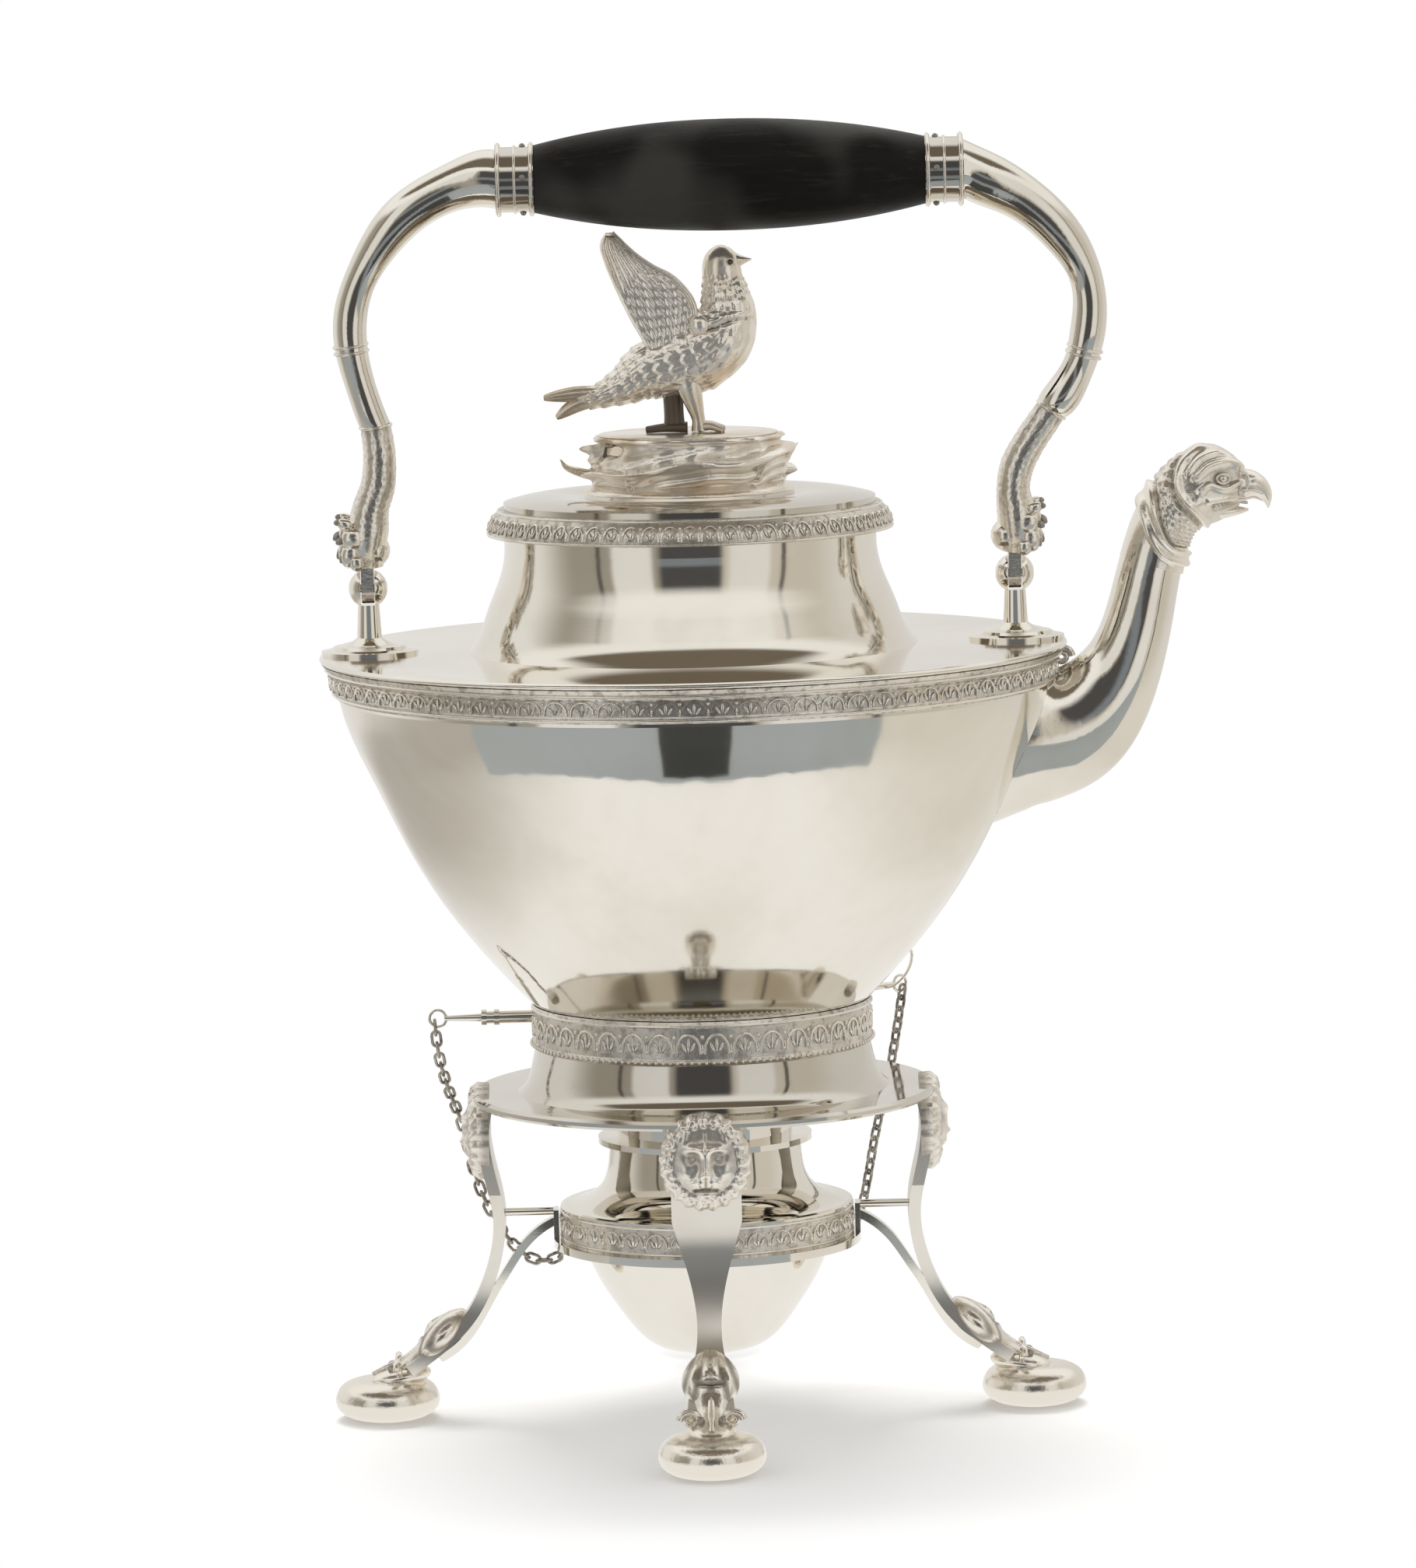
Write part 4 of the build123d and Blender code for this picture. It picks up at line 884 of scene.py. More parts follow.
def eyelid(heap, at, side, size, thick, sides=7, rise=0.8, around=30):
    """A ring round an eye; size is its half width, how far out, its lean and half height."""
    wide, out, lean, tall = size
    c, s = cos(full_turn(around)), sin(full_turn(around))
    ring = stack([at[0] + wide * c, side * (out - lean * c), at[1] + tall * s], -1)
    heap.wire(ring, thick, sides, loop=True, rise=rise)


def eagle_head(relief):
    """The spout's end: a rolled collar, feathered neck, smooth crown and hooked beak."""
    heap = Heap()
    n, m = 132, 128
    grid = rings_across(HEAD, m, n)
    v, turn = skin_grid(n, m)
    x, z = grid[..., 0], grid[..., 2]
    flank = np.abs(sin(turn))
    up = above_edge(x, z, COLLAR_EDGE)
    collar = fade(up, -0.1, 0.5) * fade(up, 4.9, 4.1) * (1.15 + 0.35 * cos((up - 0.9) * 1.9))
    groove = -0.7 * bell(up - 4.9, 0.45) * fade(up, -0.1, 0.5)
    behind = above_edge(x, z, FACE_EDGE)
    neck = fade(up, 4.8, 5.6) * fade(behind, 0.1, -0.9)
    feather = scales((1 - v) * 22, turn / FULL * 22) * neck
    throat = fade(z, 253.5, 248.5) * fade(x, 134.0, 138.0) * fade(behind, 0.1, 0.8)
    rim = (1.3 * bell(behind - 1.2, 0.95) - 1.1 * bell(behind + 0.5, 0.55)) * fade(flank, 0.12, 0.4)
    face = sum(high * ridge(x, z, wide, path) for high, wide, path in EAGLE_LINES)
    face = face - 1.3 * hump(x, z, *EYE, 2.9, 1.9) + 0.9 * hump(x, z, 138.4, 250.6, 3.2, 2.6)
    face = face * fade(flank, 0.25, 0.7)
    height = collar + groove + 0.75 * feather + rim + face + 0.25 * throat
    speck = 0.5 + 0.5 * sin(turn * 61 + 9 * sin(v * 90)) * sin(v * 260)
    rise = 0.42 + 0.5 * height + 0.5 * fade(up, 0.4, -0.4)
    rise = rise - 0.3 * speck * (neck + throat + (collar > 0.5) * 0.8)
    heap.tube(pushed(grid, height * relief * fade(v, 0.0, 0.03)), rise)
    heap.tube(rings_across(BEAK, 30, 40), 0.8)
    heap.tube(rings_across(JAW, 24, 22), 0.75)
    for side in BOTH:
        heap.blob((EYE[0], side * 7.0, EYE[1]), (1.25, 1.2, 1.1), 0, 0.9, 12, 18)
        eyelid(heap, EYE, side, (1.75, 7.55, 0.3, 1.25), 0.36)
        for thick, shade, path in BEAK_LINES:
            line = eased(np.array(path) * (1, side, 1), 20)
            heap.wire(line, linspace(thick, 0.5 * thick, 20), 7, rise=shade)
        # A blob painted dark on each side of the beak: the shade of a nostril.
        heap.blob((154.6, side * 4.1, 255.9), (1.0, 0.4, 0.5), -20, 0.0, 7, 10)
    # A small scroll lies where the top of the spout leaves the shoulder.
    curl, size = linspace(0, 1.35 * FULL, 34), linspace(2.7, 0.5, 34)
    path = stack([101.6 + size * cos(curl), 0 * curl, 208.6 + size * sin(curl)], -1)
    heap.wire(path, linspace(1.0, 0.7, 34), 10, rise=0.7)
    return heap


# ---- dove finial

DOVE = [
    (-30.0, 282.6, 2.7, 4.0),
    (-24.0, 283.4, 3.1, 4.6),
    (-17.0, 286.2, 5.2, 5.4),
    (-11.4, 289.4, 7.4, 6.4),
    (-4.0, 291.8, 9.2, 7.3),
    (3.4, 294.4, 10.2, 7.8),
    (9.2, 299.0, 9.8, 7.8),
    (11.7, 305.0, 7.9, 6.6),
    (11.2, 310.6, 6.4, 5.5),
    (10.6, 314.6, 5.5, 4.9),
    (10.3, 318.4, 5.2, 4.8),
    (10.5, 321.4, 4.2, 4.0),
    (10.7, 323.3, 2.2, 2.2),
    (10.8, 323.9, 0.4, 0.4),
]
WING_LEAD = [
    (2.6, 301.0),
    (2.4, 307.1),
    (0.3, 311.4),
    (-3.6, 315.5),
    (-8.4, 318.2),
    (-13.6, 322.1),
    (-19.3, 327.9),
]
WING_TRAIL = [
    (-9.4, 292.4),
    (-11.6, 298.0),
    (-15.3, 304.9),
    (-18.6, 312.1),
    (-21.2, 318.6),
    (-22.8, 324.4),
    (-21.2, 327.8),
]
DOVE_BEAK = [
    ((14.0, 321.9), (14.4, 317.2), 2.2),
    ((15.8, 321.0), (15.9, 318.2), 1.5),
    ((18.6, 320.0), (18.5, 319.6), 0.25),
]
DOVE_EYE = (12.7, 319.4)
DOVE_LEG = [
    (0.4, 288.0, 3.9, 3.0),
    (0.9, 284.6, 3.3, 2.7),
    (2.0, 280.6, 2.5, 2.1),
    (3.0, 276.6, 1.8, 1.5),
    (3.2, 273.4, 2.2, 1.7),
]
DOVE_PROP = [
    (-3.8, 285.0, 2.9, 3.4),
    (-3.7, 280.0, 2.7, 3.0),
    (-3.6, 276.0, 2.8, 3.2),
    (-3.6, 273.2, 3.4, 3.8),
]
TAIL_FEATHERS = (
    [(-24.0, 284.4), (-31.0, 284.0), (-39.2, 283.2)],
    [(-24.0, 282.6), (-30.4, 281.0), (-35.8, 277.8)],
)


def blade(heap, spine, wide, thick, side_y, rise, bend):
    """A flat feather along a spine of (x, z) points, at side_y from the middle plane."""
    run = eased(spine, 12)
    (x, z), (dx, dz) = run.T[..., None], unit(np.gradient(run, axis=0)).T[..., None]
    share, turn = skin_grid(12, 12)
    full = clip(sin(math.pi * (0.16 + 0.80 * share)) ** 0.55, 0.06, 1)
    across = wide * full * cos(turn)
    out = thick * full * sin(turn) * (1.25 - 0.6 * np.abs(cos(turn)))
    y = side_y + bend * share**2 + out
    heap.tube(stack([x - dz * across, y, z + dx * across], -1), rise)


def dove_body(relief):
    """The bird: scalloped back and flanks, smooth breast, thighs, toes and forked tail."""
    heap = Heap()
    n, m = 168, 150
    grid = rings_along(DOVE, m, n)
    v, turn = skin_grid(n, m)
    x, z = grid[..., 0], grid[..., 2]
    front = fade(x - 0.30 * (z - 297), 11.0, 14.5)
    feather = scales((1 - v) * 27, turn / FULL * 18)
    height = feather * fade(v, 0.0, 0.05) * fade(z, 317.0, 312.0) * (1 - 0.75 * front)
    ruff = -0.9 * ridge(x, z, 0.55, [(3.0, 300.4), (7.6, 301.6), (12.0, 303.2), (18.0, 304.4)])
    ruff += 0.7 * ridge(x, z, 0.7, [(3.0, 301.8), (7.6, 303.2), (12.0, 304.6), (18.0, 305.8)])
    rise = 0.34 + 0.65 * height + 0.45 * front + ruff + fade(z, 310, 316)
    heap.tube(pushed(grid, (height * 0.68 + ruff * 0.7) * relief), rise)
    heap.tube(rings_across(DOVE_BEAK, 14, 10), 0.6)
    for side in BOTH:
        # The eye is a blob painted dark, as the shade inside its lid.
        heap.blob((DOVE_EYE[0], side * 4.3, DOVE_EYE[1]), (0.75, 0.5, 0.7), 0, 0.0, 8, 12)
        eyelid(heap, DOVE_EYE, side, (1.0, 4.4, 0.25, 0.9), 0.2, 6, 0.7, 18)
        heap.blob((4.0, side * 6.4, 302.4), (2.7, 1.9, 2.9), -20, 0.75, 10, 14)
        heap.tube(rings_along(DOVE_LEG, 18, 16) + (0, side * 3.6, 0), 0.55)
        # The toes and the back toe are set almost to zero: painted dark, as shade under the bird.
        for spread in (-24, 0, 24):
            a = math.radians(spread)
            toe = [(0.0, 274.2), (3.6, 274.6), (7.2, 273.5)]
            path = [(3.0 + r * cos(a), side * 3.4 + r * sin(a), z) for r, z in toe]
            heap.wire(eased(path, 9), linspace(1.25, 0.75, 9), 7, rise=0.05)
        back = [(0.0, side * 3.2, 274.2), (-6.0, side * 3.0, 274.2), (-11.4, side * 2.4, 273.7)]
        heap.wire(eased(back, 8), linspace(1.3, 0.8, 8), 7, rise=0.0)
    # A rough support stands behind the legs, painted dark as the shade between them.
    heap.tube(rings_along(DOVE_PROP, 12, 18), 0.0)
    # The tail forks into an upper and a lower prong of long feathers.
    for spine in TAIL_FEATHERS:
        for k in range(-2, 3):
            blade(heap, spine, 2.1 - 0.15 * abs(k), 1.0, k * 1.5, 0.35, 0.25 * k)
    return heap


def dove_wing(side):
    """A raised wing: one broad leaf with long flight feathers and rows of short ones."""
    heap = Heap()
    n, m = 64, 100
    lead, trail = eased(WING_LEAD, n), eased(WING_TRAIL, n)
    t, q = linspace(0, 1, n)[:, None], linspace(0, 1, m)[None, :]
    flat = lead[:, None] * (1 - q[..., None]) + trail[:, None] * q[..., None]
    # Flight feathers run up the wing; the short ones lie over their roots.
    lanes = (q - 0.30 * (1 - t)) * 7.5
    lane = lanes - np.floor(lanes)
    flight = (0.25 + 0.75 * lane) * fade(lane, 1.0, 0.93) + 0.15 * bell(lane - 0.5, 0.06)
    short = scales((1 - t) * 13 + 2.5 * q, q * 7.5)
    near_root = fade(t - 0.30 * (1 - q), 0.46, 0.38)
    height = flight * (1 - near_root) + (0.55 + short) * near_root
    edge = fade(np.minimum(q, 1 - q), 0.0, 0.05) * fade(t, 1.0, 0.97)
    outer = side * (3.0 + 1.3 * (1 - t) + 1.0 * edge + 0.55 * height * edge)
    inner = side * (2.6 + 0.8 * (1 - t)) + 0 * q
    front = stack([flat[..., 0], outer, flat[..., 1]], -1)
    back = stack([flat[..., 0], inner, flat[..., 1]], -1)[:, ::-1]
    shade = np.concatenate([0.34 + 0.55 * height, np.full((n, m), 0.6)], axis=1)
    heap.tube(np.concatenate([front, back], axis=1), shade)
    path = [(x, side * (4.2 - 0.9 * k / 21), z) for k, (x, z) in enumerate(eased(WING_LEAD, 22))]
    heap.wire(path, linspace(1.3, 0.6, 22), 10, flat=0.8, rise=0.75)
    return heap


# The plinth's leaf tips: angle, reach, height and thickness.
LEAF_TIPS = (
    (180, 35.1, 265.0, 3.9),
    (0, 30.1, 268.0, 3.4),
    (140, 29.6, 264.6, 2.6),
    (-45, 29.6, 264.2, 2.6),
    (52, 29.4, 266.4, 2.6),
    (-128, 29.4, 263.0, 2.4),
)
PLINTH_TOP = [
    (0, 266.0),
    (22.6, 266.0),
    (22.6, 271.6),
    (24.4, 272.2),
    (24.8, 272.6),
    (24.4, BASE_TOP),
    (0, BASE_TOP),
]
PLINTH_RIM = [
    (0, 256.6),
    (27.4, 256.6),
    (28.8, 256.9),
    (28.6, 257.9),
    (27.0, 258.4),
    (26.2, 259.6),
    (0, 259.6),
]


def dove_base():
    """A rocky plinth wrapped by two long leaves, each ending in a pointed tip."""
    heap = Heap()
    v, turn = skin_grid(60, 260)
    z = PLINTH_LOW + (PLINTH_HIGH - PLINTH_LOW) * v + 0 * turn
    along = (turn + math.pi) / math.pi % 1.0
    brim = 262.6 + 7.4 * along**1.2 + 0.9 * sin(along * FULL * 2.5) * sin(math.pi * along)
    under = fade(z - brim, 0.35, -0.35)
    lip = bell(brim - z - 0.9, 1.5)
    flow = 0.5 + 0.5 * sin((brim - z) * 2.1 + 5.0 * along + 0.8 * sin(turn * 9))
    leaf = 25.6 + 2.6 * lip + 0.9 * flow + 1.2 * sin(math.pi * v)
    rock = 0.5 + 0.5 * sin(turn * 11 + 2.2 * sin(v * 5)) * cos(v * 9 + turn * 4)
    notch = hump((turn - 3.55 + math.pi) % FULL - math.pi, z, 0.0, 268.6, 0.42, 2.6)
    stone = 24.4 + 1.6 * rock + 1.3 * fade(v, 0.86, 0.97) - 3.4 * notch * fade(v, 0.95, 0.85)
    radius = leaf * under + stone * (1 - under)
    radius = radius * fade(v, -0.9, 0.05) - 1.1 * fade(v, 0.93, 1.0)
    rise = under * (0.35 + 0.5 * flow + 0.5 * lip)
    # The notch is painted dark as the shade in its hollow.
    rise += (1 - under) * (0.15 + 0.65 * rock - 0.7 * notch)
    heap.tube(stack([radius * cos(turn), radius * sin(turn), z], -1), rise)
    heap.lathe(PLINTH_TOP, around=96, rise=0.8)
    heap.lathe(PLINTH_RIM, around=96)
    for angle, reach, height, thick in LEAF_TIPS:
        run = [(20.0, -2.6), (25.6, -3.4), (reach - 2.2, -1.4), (reach, 1.2)]
        path = eased(run, 16) + (0, height)
        points = stack([path[:, 0], linspace(-1, 1, 16) ** 3 * 1.6, path[:, 1]], -1)
        points = turned_z(points, math.radians(angle))
        heap.wire(points, linspace(thick, 0.3, 16), 12, flat=0.6, rise=0.7)
    return heap


# ---- chains


def loose_parts(node):
    """The points of each separate solid of a node, in millimetres from the axis."""
    count = len(node.data.vertices)
    points = np.empty(count * 3)
    node.data.vertices.foreach_get("co", points)
    points = points.reshape(-1, 3) / MM - (AXIS_X, 0, 0)
    _, same = np.unique(np.round(points, 3), axis=0, return_inverse=True)
    same = same.reshape(-1)
    parent = list(range(same.max() + 1))

    def top(k):
        while parent[k] != k:
            parent[k] = parent[parent[k]]
            k = parent[k]
        return k

    for a, b in (edge.vertices for edge in node.data.edges):
        parent[top(same[a])] = top(same[b])
    groups = {}
    for k, s in enumerate(same):
        groups.setdefault(top(s), []).append(k)
    return [points[group] for group in groups.values()]


def round_links(node, wire):
    """A bent wire link in the place of each flat one."""
    heap = Heap()
    for points in loose_parts(node):
        middle = (points.max(axis=0) + points.min(axis=0)) / 2
        _, _, axes = np.linalg.svd(points - points.mean(axis=0))
        spread = (points - middle) @ axes.T
        high, low = spread.max(axis=0), spread.min(axis=0)
        middle = middle + ((high + low) / 2) @ axes
        half = (high - low) / 2
        bend = half[1] - wire
        turn = linspace(-math.pi / 2, math.pi / 2, 7)
        far = np.column_stack([half[0] - half[1] + bend * cos(turn), bend * sin(turn)])
        path = np.vstack([far, -far])
        heap.wire(path @ axes[:2] + middle, wire, 7, loop=True)
    return heap


# ---- user's values


def tint(name, about, default):
    """A colour for the user to set."""
    return FloatVectorProperty(name=name, description=about, subtype="COLOR", default=default)


def length(name, about, default, **ends):
    """A length for the user to set, in metres."""
    return FloatProperty(name=name, description=about, default=default, unit="LENGTH", **ends)


def leaves(name, place, default, low, high):
    """How many leaves a band has."""
    about = f"Leaves round the {place}"
    return IntProperty(name=name, description=about, default=default, min=low, max=high)


class FinishLook(bpy.types.PropertyGroup):
    silver: tint("Silver", "Polished silver", (0.875, 0.84, 0.77))
    tarnish: tint("Haze", "Silver under a faint haze", (0.71, 0.66, 0.57))
    cast: tint("Cast silver", "Rubbed cast silver", (0.87, 0.82, 0.74))
    patina: tint("Patina", "Warm patches on raised work", (0.66, 0.53, 0.35))
    # Dark colour of dirt in low places, which the silver finishes also use for painted shade.
    dirt_and_shade: tint("Dirt and shade", "Dirt in low places and painted shade", (0.115, 0.092, 0.068))
    wood: tint("Wood", "Ebonised wood", (0.0058, 0.0050, 0.0044))
    wood_grain: tint("Grain", "Grain of the wood", (0.024, 0.017, 0.012))
    # Colour of the painted sheen on the grip.
    wood_sheen: tint("Wood sheen", "Painted sheen on the grip", (0.036, 0.035, 0.031))
    wick: tint("Wick", "Cotton", (0.72, 0.67, 0.56))
    char: tint("Char", "Burnt end of the wick", (0.05, 0.04, 0.035))
    roughness: FloatProperty(
        name="Polish", description="Roughness of polished silver", default=0.058, min=0.0, max=1.0
    )


class OrnamentSizes(bpy.types.PropertyGroup):
    relief: FloatProperty(
        name="Relief", description="How far cast forms stand out", default=1.0, min=0.2, max=1.6
    )
    shoulder_leaves: leaves("Shoulder leaves", "shoulder", 84, 24, 160)
    rim_leaves: leaves("Rim leaves", "neck's rim", 64, 16, 120)
    collar_leaves: leaves("Collar leaves", "stand's collar", 38, 16, 90)
    lamp_leaves: leaves("Lamp leaves", "lamp's band", 36, 16, 90)
    leaf_rise: length(
        "Leaf rise", "How far a leaf stands out of its band", 0.00045, min=0.0001, max=0.001
    )
    link_wire: length(
        "Link wire", "Radius of the wire of a chain link", 0.00045, min=0.0002, max=0.0006
    )


class StudioSet(bpy.types.PropertyGroup):
    camera_back: length("Camera back", "How far the camera stands back", 2.146)
    camera_height: length("Camera height", "Height of the camera", 0.425)
    camera_aim: length("Aim height", "Height the camera looks at", 0.1755)
    camera_side: length("Camera side", "How far right of the kettle's axis", 0.0032)
    camera_roll: FloatProperty(
        name="Roll", description="Turn of the camera", default=math.radians(-1.4), subtype="ANGLE"
    )
    lens: FloatProperty(name="Lens", description="Focal length", default=179.8, min=20.0, max=400.0)
    floor: tint("Floor", "Colour of the floor", (0.93, 0.925, 0.915))


def looks():
    """The colours and polish that the user has set."""
    return bpy.context.scene.kettle_finish


def sizes():
    """The sizes of the ornament that the user has set."""
    return bpy.context.scene.kettle_ornament


# ---- operators

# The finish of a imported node, by how its name starts; any other node is polished.
NODE_FINISHES = (
    (("lid_hinge",), CAST),
    (("shoulder_band", "neck_rim", "stand_collar", "lamp_band"), GROUND),
    (("stand_flange", "lid_plate", "ferrule"), DARKENED),
    (("leg_",), WORN),
    (("handle_grip",), WOOD),
    (("wick",), WICK),
)

# Leaf bands: body, foot and top as (radius, z), share of the leaf rise, and belly.
BANDS = {
    "shoulder": ("kettle", (99.95, 204.6), (100.2, 209.6), 1.0, 0.0),
    "rim": ("kettle", (55.75, 246.7), (53.35, 251.9), 0.8, 0.5),
    "collar": ("stand", (46.8, 106.4), (46.8, 113.6), 1.0, 0.0),
    "lamp": ("lamp", (40.5, 51.6), (40.5, 57.2), 1.0, 0.0),
}
# Lines along their edges: radius, z, thickness and points round.
BAND_EDGES = {
    "shoulder": ((99.3, 203.9, 0.45, 220), (101.2, 210.5, 0.40, 220)),
    "rim": ((55.6, 246.4, 0.40, 180), (52.7, 252.5, 0.35, 180)),
    "collar": ((46.9, 114.8, 0.42, 160),),
    "lamp": ((40.45, 50.8, 0.38, 150), (40.45, 57.9, 0.38, 150)),
}
COLLAR_BEADS = (47.2, 104.9, 0.62, 150)


def on_each_leg(build, name, finish, node):
    """The same piece at the four legs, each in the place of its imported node."""
    for k, side in enumerate(SIDES):
        angle = k * FULL / 4
        heap = build(sizes().relief)
        heap.make(f"{name}_{side}", finish, "stand", lambda p: turned_z(p, angle), f"{node}_{side}")


class KETTLE_OT_finishes(bpy.types.Operator):
    """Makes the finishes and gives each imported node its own"""

    bl_idname = "kettle.finishes"
    bl_label = "Finishes"

    def execute(self, context):
        look = looks()
        polished_silver(look, POLISHED)
        # A darker copy of the polished silver, pulled towards the dark dirt colour, for the stand
        # flange, lid plate and ferrules.
        polished_silver(look, DARKENED, age=0.22)
        polished_silver(look, WORN, wear=0.24)
        cast_silver(look, CAST, dirt=0.0)
        cast_silver(look, GROUND, dirt=0.14)
        cast_silver(look, GRIMED, dirt=0.42)
        chased_silver(look, CHASED, depth=1.0, metal=1.0)
        chased_silver(look, CARVED, depth=0.32, metal=0.82, painted_shade=0.75, warm=0.6)
        chased_silver(look, MASKED, depth=0.80, metal=0.90)
        chased_silver(look, CRISP, depth=0.40, metal=0.94)
        ebonised_wood(look)
        cotton(look)
        for name, node in NODES.items():
            own = [finish for starts, finish in NODE_FINISHES if name.startswith(starts)]
            finish = own[0] if own else POLISHED
            for slot in node.material_slots:
                slot.material = bpy.data.materials[finish]
        return {"FINISHED"}


class KETTLE_OT_bands(bpy.types.Operator):
    """Raises the leaf bands on the shoulder, neck rim, collar and lamp"""

    bl_idname = "kettle.bands"
    bl_label = "Leaf bands"

    def execute(self, context):
        size = sizes()
        for name, (body, foot, top, share, belly) in BANDS.items():
            heap = Heap()
            count = getattr(size, f"{name}_leaves")
            leaf_band(heap, count, foot, top, share * size.leaf_rise / MM, belly)
            if name == "collar":
                bead_row(heap, *COLLAR_BEADS)
            for edge in BAND_EDGES[name]:
                edge_line(heap, *edge)
            heap.make(f"{name}_leaves", CHASED, body)
        return {"FINISHED"}


class KETTLE_OT_masks(bpy.types.Operator):
    """Puts a lion mask at the head of each leg"""

    bl_idname = "kettle.masks"
    bl_label = "Lion masks"

    def execute(self, context):
        on_each_leg(lion_mask, "lion_mask", MASKED, "mask")
        return {"FINISHED"}


class KETTLE_OT_feet(bpy.types.Operator):
    """Sets a bun foot with its paw and leaf under each leg"""

    bl_idname = "kettle.feet"
    bl_label = "Feet"

    def execute(self, context):
        on_each_leg(bun_foot, "bun_foot", CHASED, "foot")
        return {"FINISHED"}


class KETTLE_OT_handle(bpy.types.Operator):
    """Adds the paws, the rings on the arms and the bands of the ferrules"""

    bl_idname = "kettle.handle"
    bl_label = "Handle"

    def execute(self, context):
        trims = Heap()
        arm_trims(trims, LINE_LEFT, 0.68, 4.55)
        arm_trims(trims, LINE_RIGHT, 0.66, 4.72)
        for name, line, side in (("left", PAW_LEFT, -1), ("right", PAW_RIGHT, 1)):
            paw = handle_paw(line, side, sizes().relief)
            paw.make(f"lion_paw_{name}", CHASED, "handle", leaned, f"handle_paw_{name}")
            (x, z, a, b), (nx, nz, _, _) = line[:2]
            ring = ring_at(x, z, nx - x, nz - z, a + 0.1, b + 0.1, 40)
            trims.wire(ring, 0.5, 7, loop=True)
        for side in BOTH:
            ferrule_trims(trims, side)
        trims.make("handle_rings", CHASED, "handle", leaned)
        return {"FINISHED"}


class KETTLE_OT_eagle(bpy.types.Operator):
    """Models the eagle's head on the spout"""

    bl_idname = "kettle.eagle"
    bl_label = "Eagle's head"

    def execute(self, context):
        head = eagle_head(sizes().relief)
        head.make("eagle_head", CRISP, "kettle", replaced="spout_head")
        return {"FINISHED"}


class KETTLE_OT_dove(bpy.types.Operator):
    """Models the dove and its leafy plinth on the lid"""

    bl_idname = "kettle.dove"
    bl_label = "Dove"

    def execute(self, context):
        for name, heap, node in (
            ("dove_bird", dove_body(sizes().relief), "dove_body"),
            ("dove_feathers_near", dove_wing(-1), "dove_wing_near"),
            ("dove_feathers_far", dove_wing(1), "dove_wing_far"),
            ("dove_plinth", dove_base(), "dove_base"),
        ):
            heap.make(name, CARVED, "lid", replaced=node)
        return {"FINISHED"}


class KETTLE_OT_chains(bpy.types.Operator):
    """Bends round wire links for the two chains and a pull ring for the right pin"""

    bl_idname = "kettle.chains"
    bl_label = "Chains"

    def execute(self, context):
        wire = sizes().link_wire / MM
        for side in ("left", "right"):
            name = f"chain_{side}"
            links = round_links(NODES[name], wire)
            links.make(f"links_{side}", GRIMED, "stand", replaced=name)
        pull = Heap()
        turn = full_turn(48)
        out, z = PULL_OUT + 0.55 * PULL_R * sin(turn), PULL_Z + 0.9 * PULL_R * sin(turn)
        ring = turned_z(stack([out, PULL_R * cos(turn), z], -1), RIGHT_AZ)
        pull.wire(ring, 0.42, 8, loop=True)
        pull.make("pull_ring", POLISHED, "pin_right", slot="polished_silver")
        return {"FINISHED"}


WHITE = (1, 1, 1, 1)
FLOOR = [(-6, -6), (6, -6), (6, 6), (-6, 6)]
CARD_Z = 0.002
SENSOR = 36.0

# The room that the silver shows, by the angle from the front in degrees. Each pair is
# where a part starts to show and where it shows fully.
DARK_END = (17, 22)
WINDOW = ((22, 26), (48, 52))
POST = ((57, 58), (60, 61))
BACK = (75, 112)
WALLS = ((0.35, 0.325, 0.275, 1), (0.62, 0.58, 0.51, 1))
BACK_WALLS = ((0.84, 0.83, 0.81, 1), (0.74, 0.72, 0.69, 1))
WINDOW_TONE = (0.80, 0.79, 0.77, 1)
DARK = (0.075, 0.073, 0.074, 1)
DARK_LOW = (0.21, 0.235, 0.26, 1)
POST_TONE = (0.10, 0.09, 0.08, 1)
CEILING = (0.95, 0.94, 0.92, 1)
BEAM = (0.17, 0.14, 0.105, 1)
# The table: its far side, and its near side left and right of the kettle.
TABLE_FAR = (0.93, 0.92, 0.90, 1)
TABLE_LEFT = (0.50, 0.475, 0.44, 1)
TABLE_RIGHT = (0.76, 0.73, 0.67, 1)


def soft_lamp(name, at, aim, size, power, colour):
    """A broad lamp that the silver doesn't mirror."""
    light = bpy.data.lights.new(name, "AREA")
    light.shape = "RECTANGLE"
    light.size, light.size_y = size
    light.energy = power
    light.color = colour
    lamp = bpy.data.objects.new(name, light)
    lamp.location = at
    lamp.rotation_euler = (Vector(aim) - Vector(at)).to_track_quat("-Z", "Y").to_euler()
    lamp.visible_glossy = False
    bpy.context.scene.collection.objects.link(lamp)


def strip(middle, edge):
    """Outline of a strip on the floor; edge has pairs of y and half width."""
    outline = [(middle + half, y) for y, half in edge]
    return outline + [(middle - half, y) for y, half in reversed(edge)]


def sector(middle, near, far, left, right):
    """Outline of a ring's sector before the kettle, between two angles from the front."""
    turn = np.radians(linspace(-left, right, 24))
    reach = near * (1 + 0.30 * sin(turn) ** 2)
    ring = [(middle + r * sin(t), -r * cos(t)) for r, t in zip(reach, turn)]
    return ring + [(middle + far * sin(t), -far * cos(t)) for t in reversed(turn)]


def stage_piece(name, outline, height, net, shader):
    """A flat stage piece with the material of the same name."""
    corners = [(x, y, height) for x, y in outline]
    mesh = bpy.data.meshes.new(name)
    mesh.from_pydata(corners, [], [tuple(range(len(corners)))])
    mesh.materials.append(bpy.data.materials[name])
    net.show(shader)
    piece = bpy.data.objects.new(name, mesh)
    bpy.context.scene.collection.objects.link(piece)
    return piece


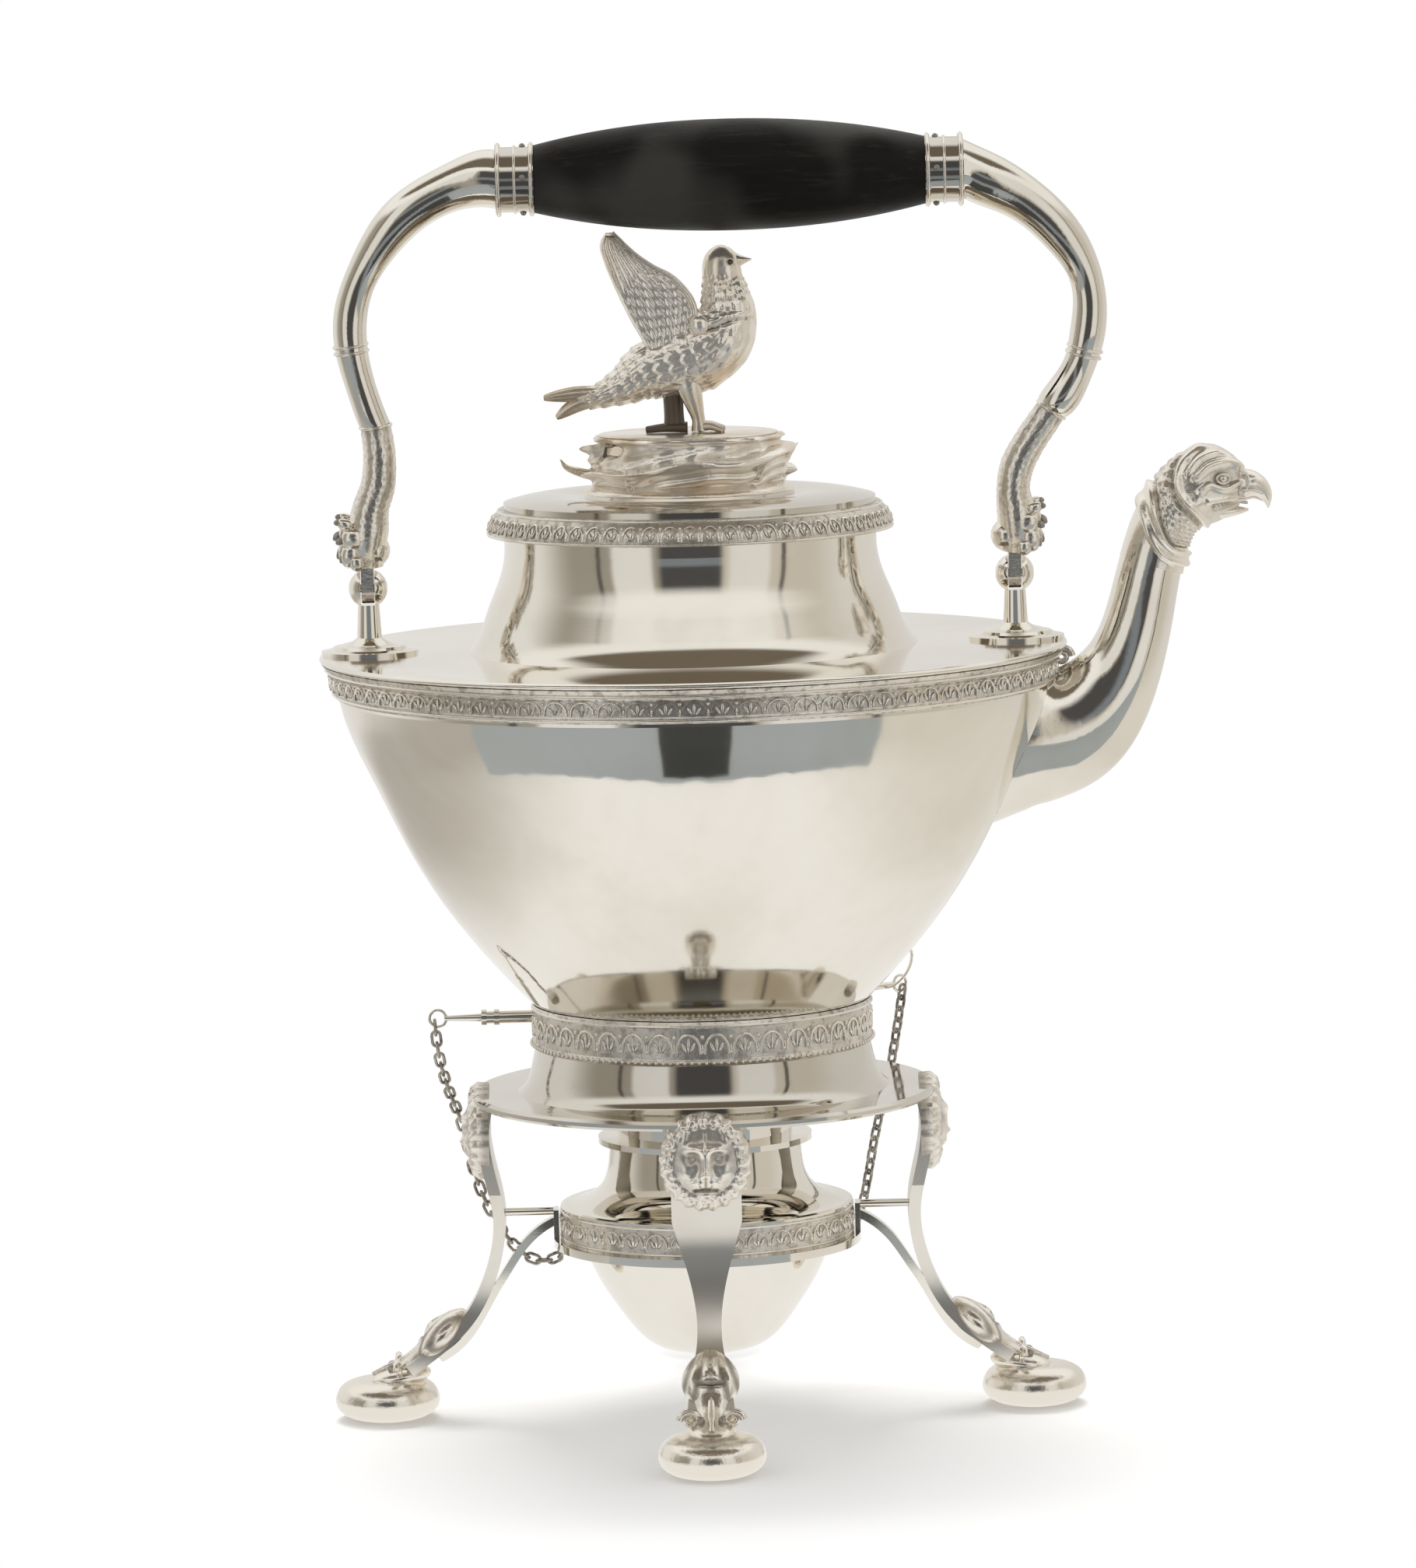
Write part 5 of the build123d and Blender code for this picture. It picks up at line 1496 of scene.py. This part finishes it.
def card(name, outline, height, colour):
    """A plain card on the floor that only shows in the silver."""
    net = new_material(name)
    piece = stage_piece(name, outline, height, net, net.principled(rgba(colour), 0.9))
    piece.visible_camera = False
    piece.visible_diffuse = False
    piece.visible_shadow = False
    piece.visible_transmission = False


def room_colour(net, x, y, low=0.0):
    """Windows and a dark middle at the front, pale behind; low is 1 where the floor is near."""

    def shown(start, end):
        return net.step(side, *start) * (1 - net.step(side, *end))

    side = abs(x.turned_by(-y)) * math.degrees(1)
    right = net.step(x, -0.2, 0.2)
    room = net.mix(net.step(side, *BACK), net.mix(right, *WALLS), net.mix(right, *BACK_WALLS))
    room = net.mix(shown(*WINDOW), room, WINDOW_TONE)
    room = net.mix(1 - net.step(side, *DARK_END), room, net.mix(low, DARK, DARK_LOW))
    return net.mix(shown(*POST), room, POST_TONE)


def lay_floor(look, axis):
    """Keeps the shadow near the kettle and is plain white further out."""
    net = new_material("floor")
    x, y, _ = net.parts(net.place())
    x = x - axis
    reach = (x * x + y * y) ** 0.5
    front = y + 0.05
    shade = (x * x * 0.48 + front * front * 1.7) ** 0.5
    camera, glossy, clear = net.rays("Is Camera Ray", "Is Glossy Ray", "Is Transmission Ray")
    table = net.mix(net.step(x, -0.12, -0.36), TABLE_FAR, TABLE_LEFT)
    table = net.mix(net.step(x, 0.12, 0.36), table, TABLE_RIGHT)
    mirrored = net.mix(net.step(reach, 0.5, 0.9), table, room_colour(net, x, y))
    plain = net.principled(rgba(look.floor), 0.95, specular=0.1)
    colour = net.mix(glossy, WHITE, mirrored)
    shown = net.add("ShaderNodeEmission", inputs={"Color": colour, "Strength": 1.0})
    share = net.step(shade, 0.10, 0.20) * (camera + clear) + glossy
    both = net.add("ShaderNodeMixShader", inputs={0: share, 1: plain, 2: shown})
    stage_piece("floor", FLOOR, 0, net, both)


def lay_cards(axis):
    """The room beyond the front of the table; strips are (y, half width) at their edges."""
    card("room_floor", sector(axis, 0.215, 0.9, 74, 60), CARD_Z, (0.27, 0.295, 0.31))
    near, middle, far = (-0.222, 0.042), (-0.55, 0.11), (-0.9, 0.26)
    card("camera_stand", strip(axis, (near, middle)), 2 * CARD_Z, (0.03, 0.032, 0.032))
    card("camera_floor", strip(axis, (middle, far)), 2 * CARD_Z, (0.17, 0.19, 0.21))


def studio_world():
    """White for the camera and the light; for the silver, a room with windows at the front."""
    world = bpy.data.worlds.new("studio")
    bpy.context.scene.world = world
    world.use_nodes = True
    net = Net(world.node_tree)
    x, y, z = net.parts(net.add("ShaderNodeTexCoord", out="Generated"))
    room = room_colour(net, x, y, 1 - net.step(z, 0.05, 0.16))
    room = net.mix(net.step(z, 0.45, 0.62), room, CEILING)
    beam = net.step(z, 0.70, 0.76) * (1 - net.step(y, -0.1, 0.2))
    room = net.mix(beam, room, BEAM)
    (glossy,) = net.rays("Is Glossy Ray")
    colour = net.mix(glossy, WHITE, room)
    back = net.add("ShaderNodeBackground", inputs={"Color": colour, "Strength": 1.0})
    net.add("ShaderNodeOutputWorld", inputs={"Surface": back})


def studio_camera(look, axis):
    """Looks at the kettle from the front and a little above."""
    data = bpy.data.cameras.new("camera")
    data.lens = look.lens
    data.sensor_width = SENSOR
    data.sensor_fit = "AUTO"
    data.clip_end = 50.0
    camera = bpy.data.objects.new("camera", data)
    at = Vector((axis + look.camera_side, -look.camera_back, look.camera_height))
    aim = Vector((axis + look.camera_side, 0, look.camera_aim))
    turn = (aim - at).to_track_quat("-Z", "Y").to_matrix().to_4x4()
    roll = Matrix.Rotation(look.camera_roll, 4, "Z")
    camera.matrix_world = Matrix.Translation(at) @ turn @ roll
    bpy.context.scene.collection.objects.link(camera)
    bpy.context.scene.camera = camera


class KETTLE_OT_stage(bpy.types.Operator):
    """Sets the pale floor, soft lamp, room and camera"""

    bl_idname = "kettle.stage"
    bl_label = "Stage"

    def execute(self, context):
        look = context.scene.kettle_studio
        axis = AXIS_X * MM
        lay_floor(look, axis)
        lay_cards(axis)
        studio_world()
        at = (axis - 0.02, 0.42, 1.20)
        soft_lamp("lamp_over", at, (axis, 0, 0.1), (0.8, 0.6), 11.5, (1, 0.995, 0.985))
        studio_camera(look, axis)
        context.scene.view_settings.view_transform = "Standard"
        return {"FINISHED"}


class KETTLE_PT_panel(bpy.types.Panel):
    bl_idname = "KETTLE_PT_panel"
    bl_label = "Spirit kettle"
    bl_space_type = "VIEW_3D"
    bl_region_type = "UI"
    bl_category = "Kettle"

    def draw(self, context):
        column = self.layout.column()
        for group in (looks(), sizes(), context.scene.kettle_studio):
            for name in group.bl_rna.properties.keys():
                if name not in ("rna_type", "name"):
                    column.prop(group, name)
        for step in STEPS:
            column.operator(step.bl_idname)


STEPS = (
    KETTLE_OT_finishes,
    KETTLE_OT_bands,
    KETTLE_OT_masks,
    KETTLE_OT_feet,
    KETTLE_OT_handle,
    KETTLE_OT_eagle,
    KETTLE_OT_dove,
    KETTLE_OT_chains,
    KETTLE_OT_stage,
)
CLASSES = (FinishLook, OrnamentSizes, StudioSet, *STEPS, KETTLE_PT_panel)


def register():
    for one in CLASSES:
        bpy.utils.register_class(one)
    bpy.types.Scene.kettle_finish = PointerProperty(type=FinishLook)
    bpy.types.Scene.kettle_ornament = PointerProperty(type=OrnamentSizes)
    bpy.types.Scene.kettle_studio = PointerProperty(type=StudioSet)


def unregister():
    del bpy.types.Scene.kettle_studio
    del bpy.types.Scene.kettle_ornament
    del bpy.types.Scene.kettle_finish
    for one in reversed(CLASSES):
        bpy.utils.unregister_class(one)


def main():
    register()
    bpy.ops.kettle.finishes()
    bpy.ops.kettle.bands()
    bpy.ops.kettle.masks()
    bpy.ops.kettle.feet()
    bpy.ops.kettle.handle()
    bpy.ops.kettle.eagle()
    bpy.ops.kettle.dove()
    bpy.ops.kettle.chains()
    bpy.ops.kettle.stage()


if __name__ == "__main__":
    main()
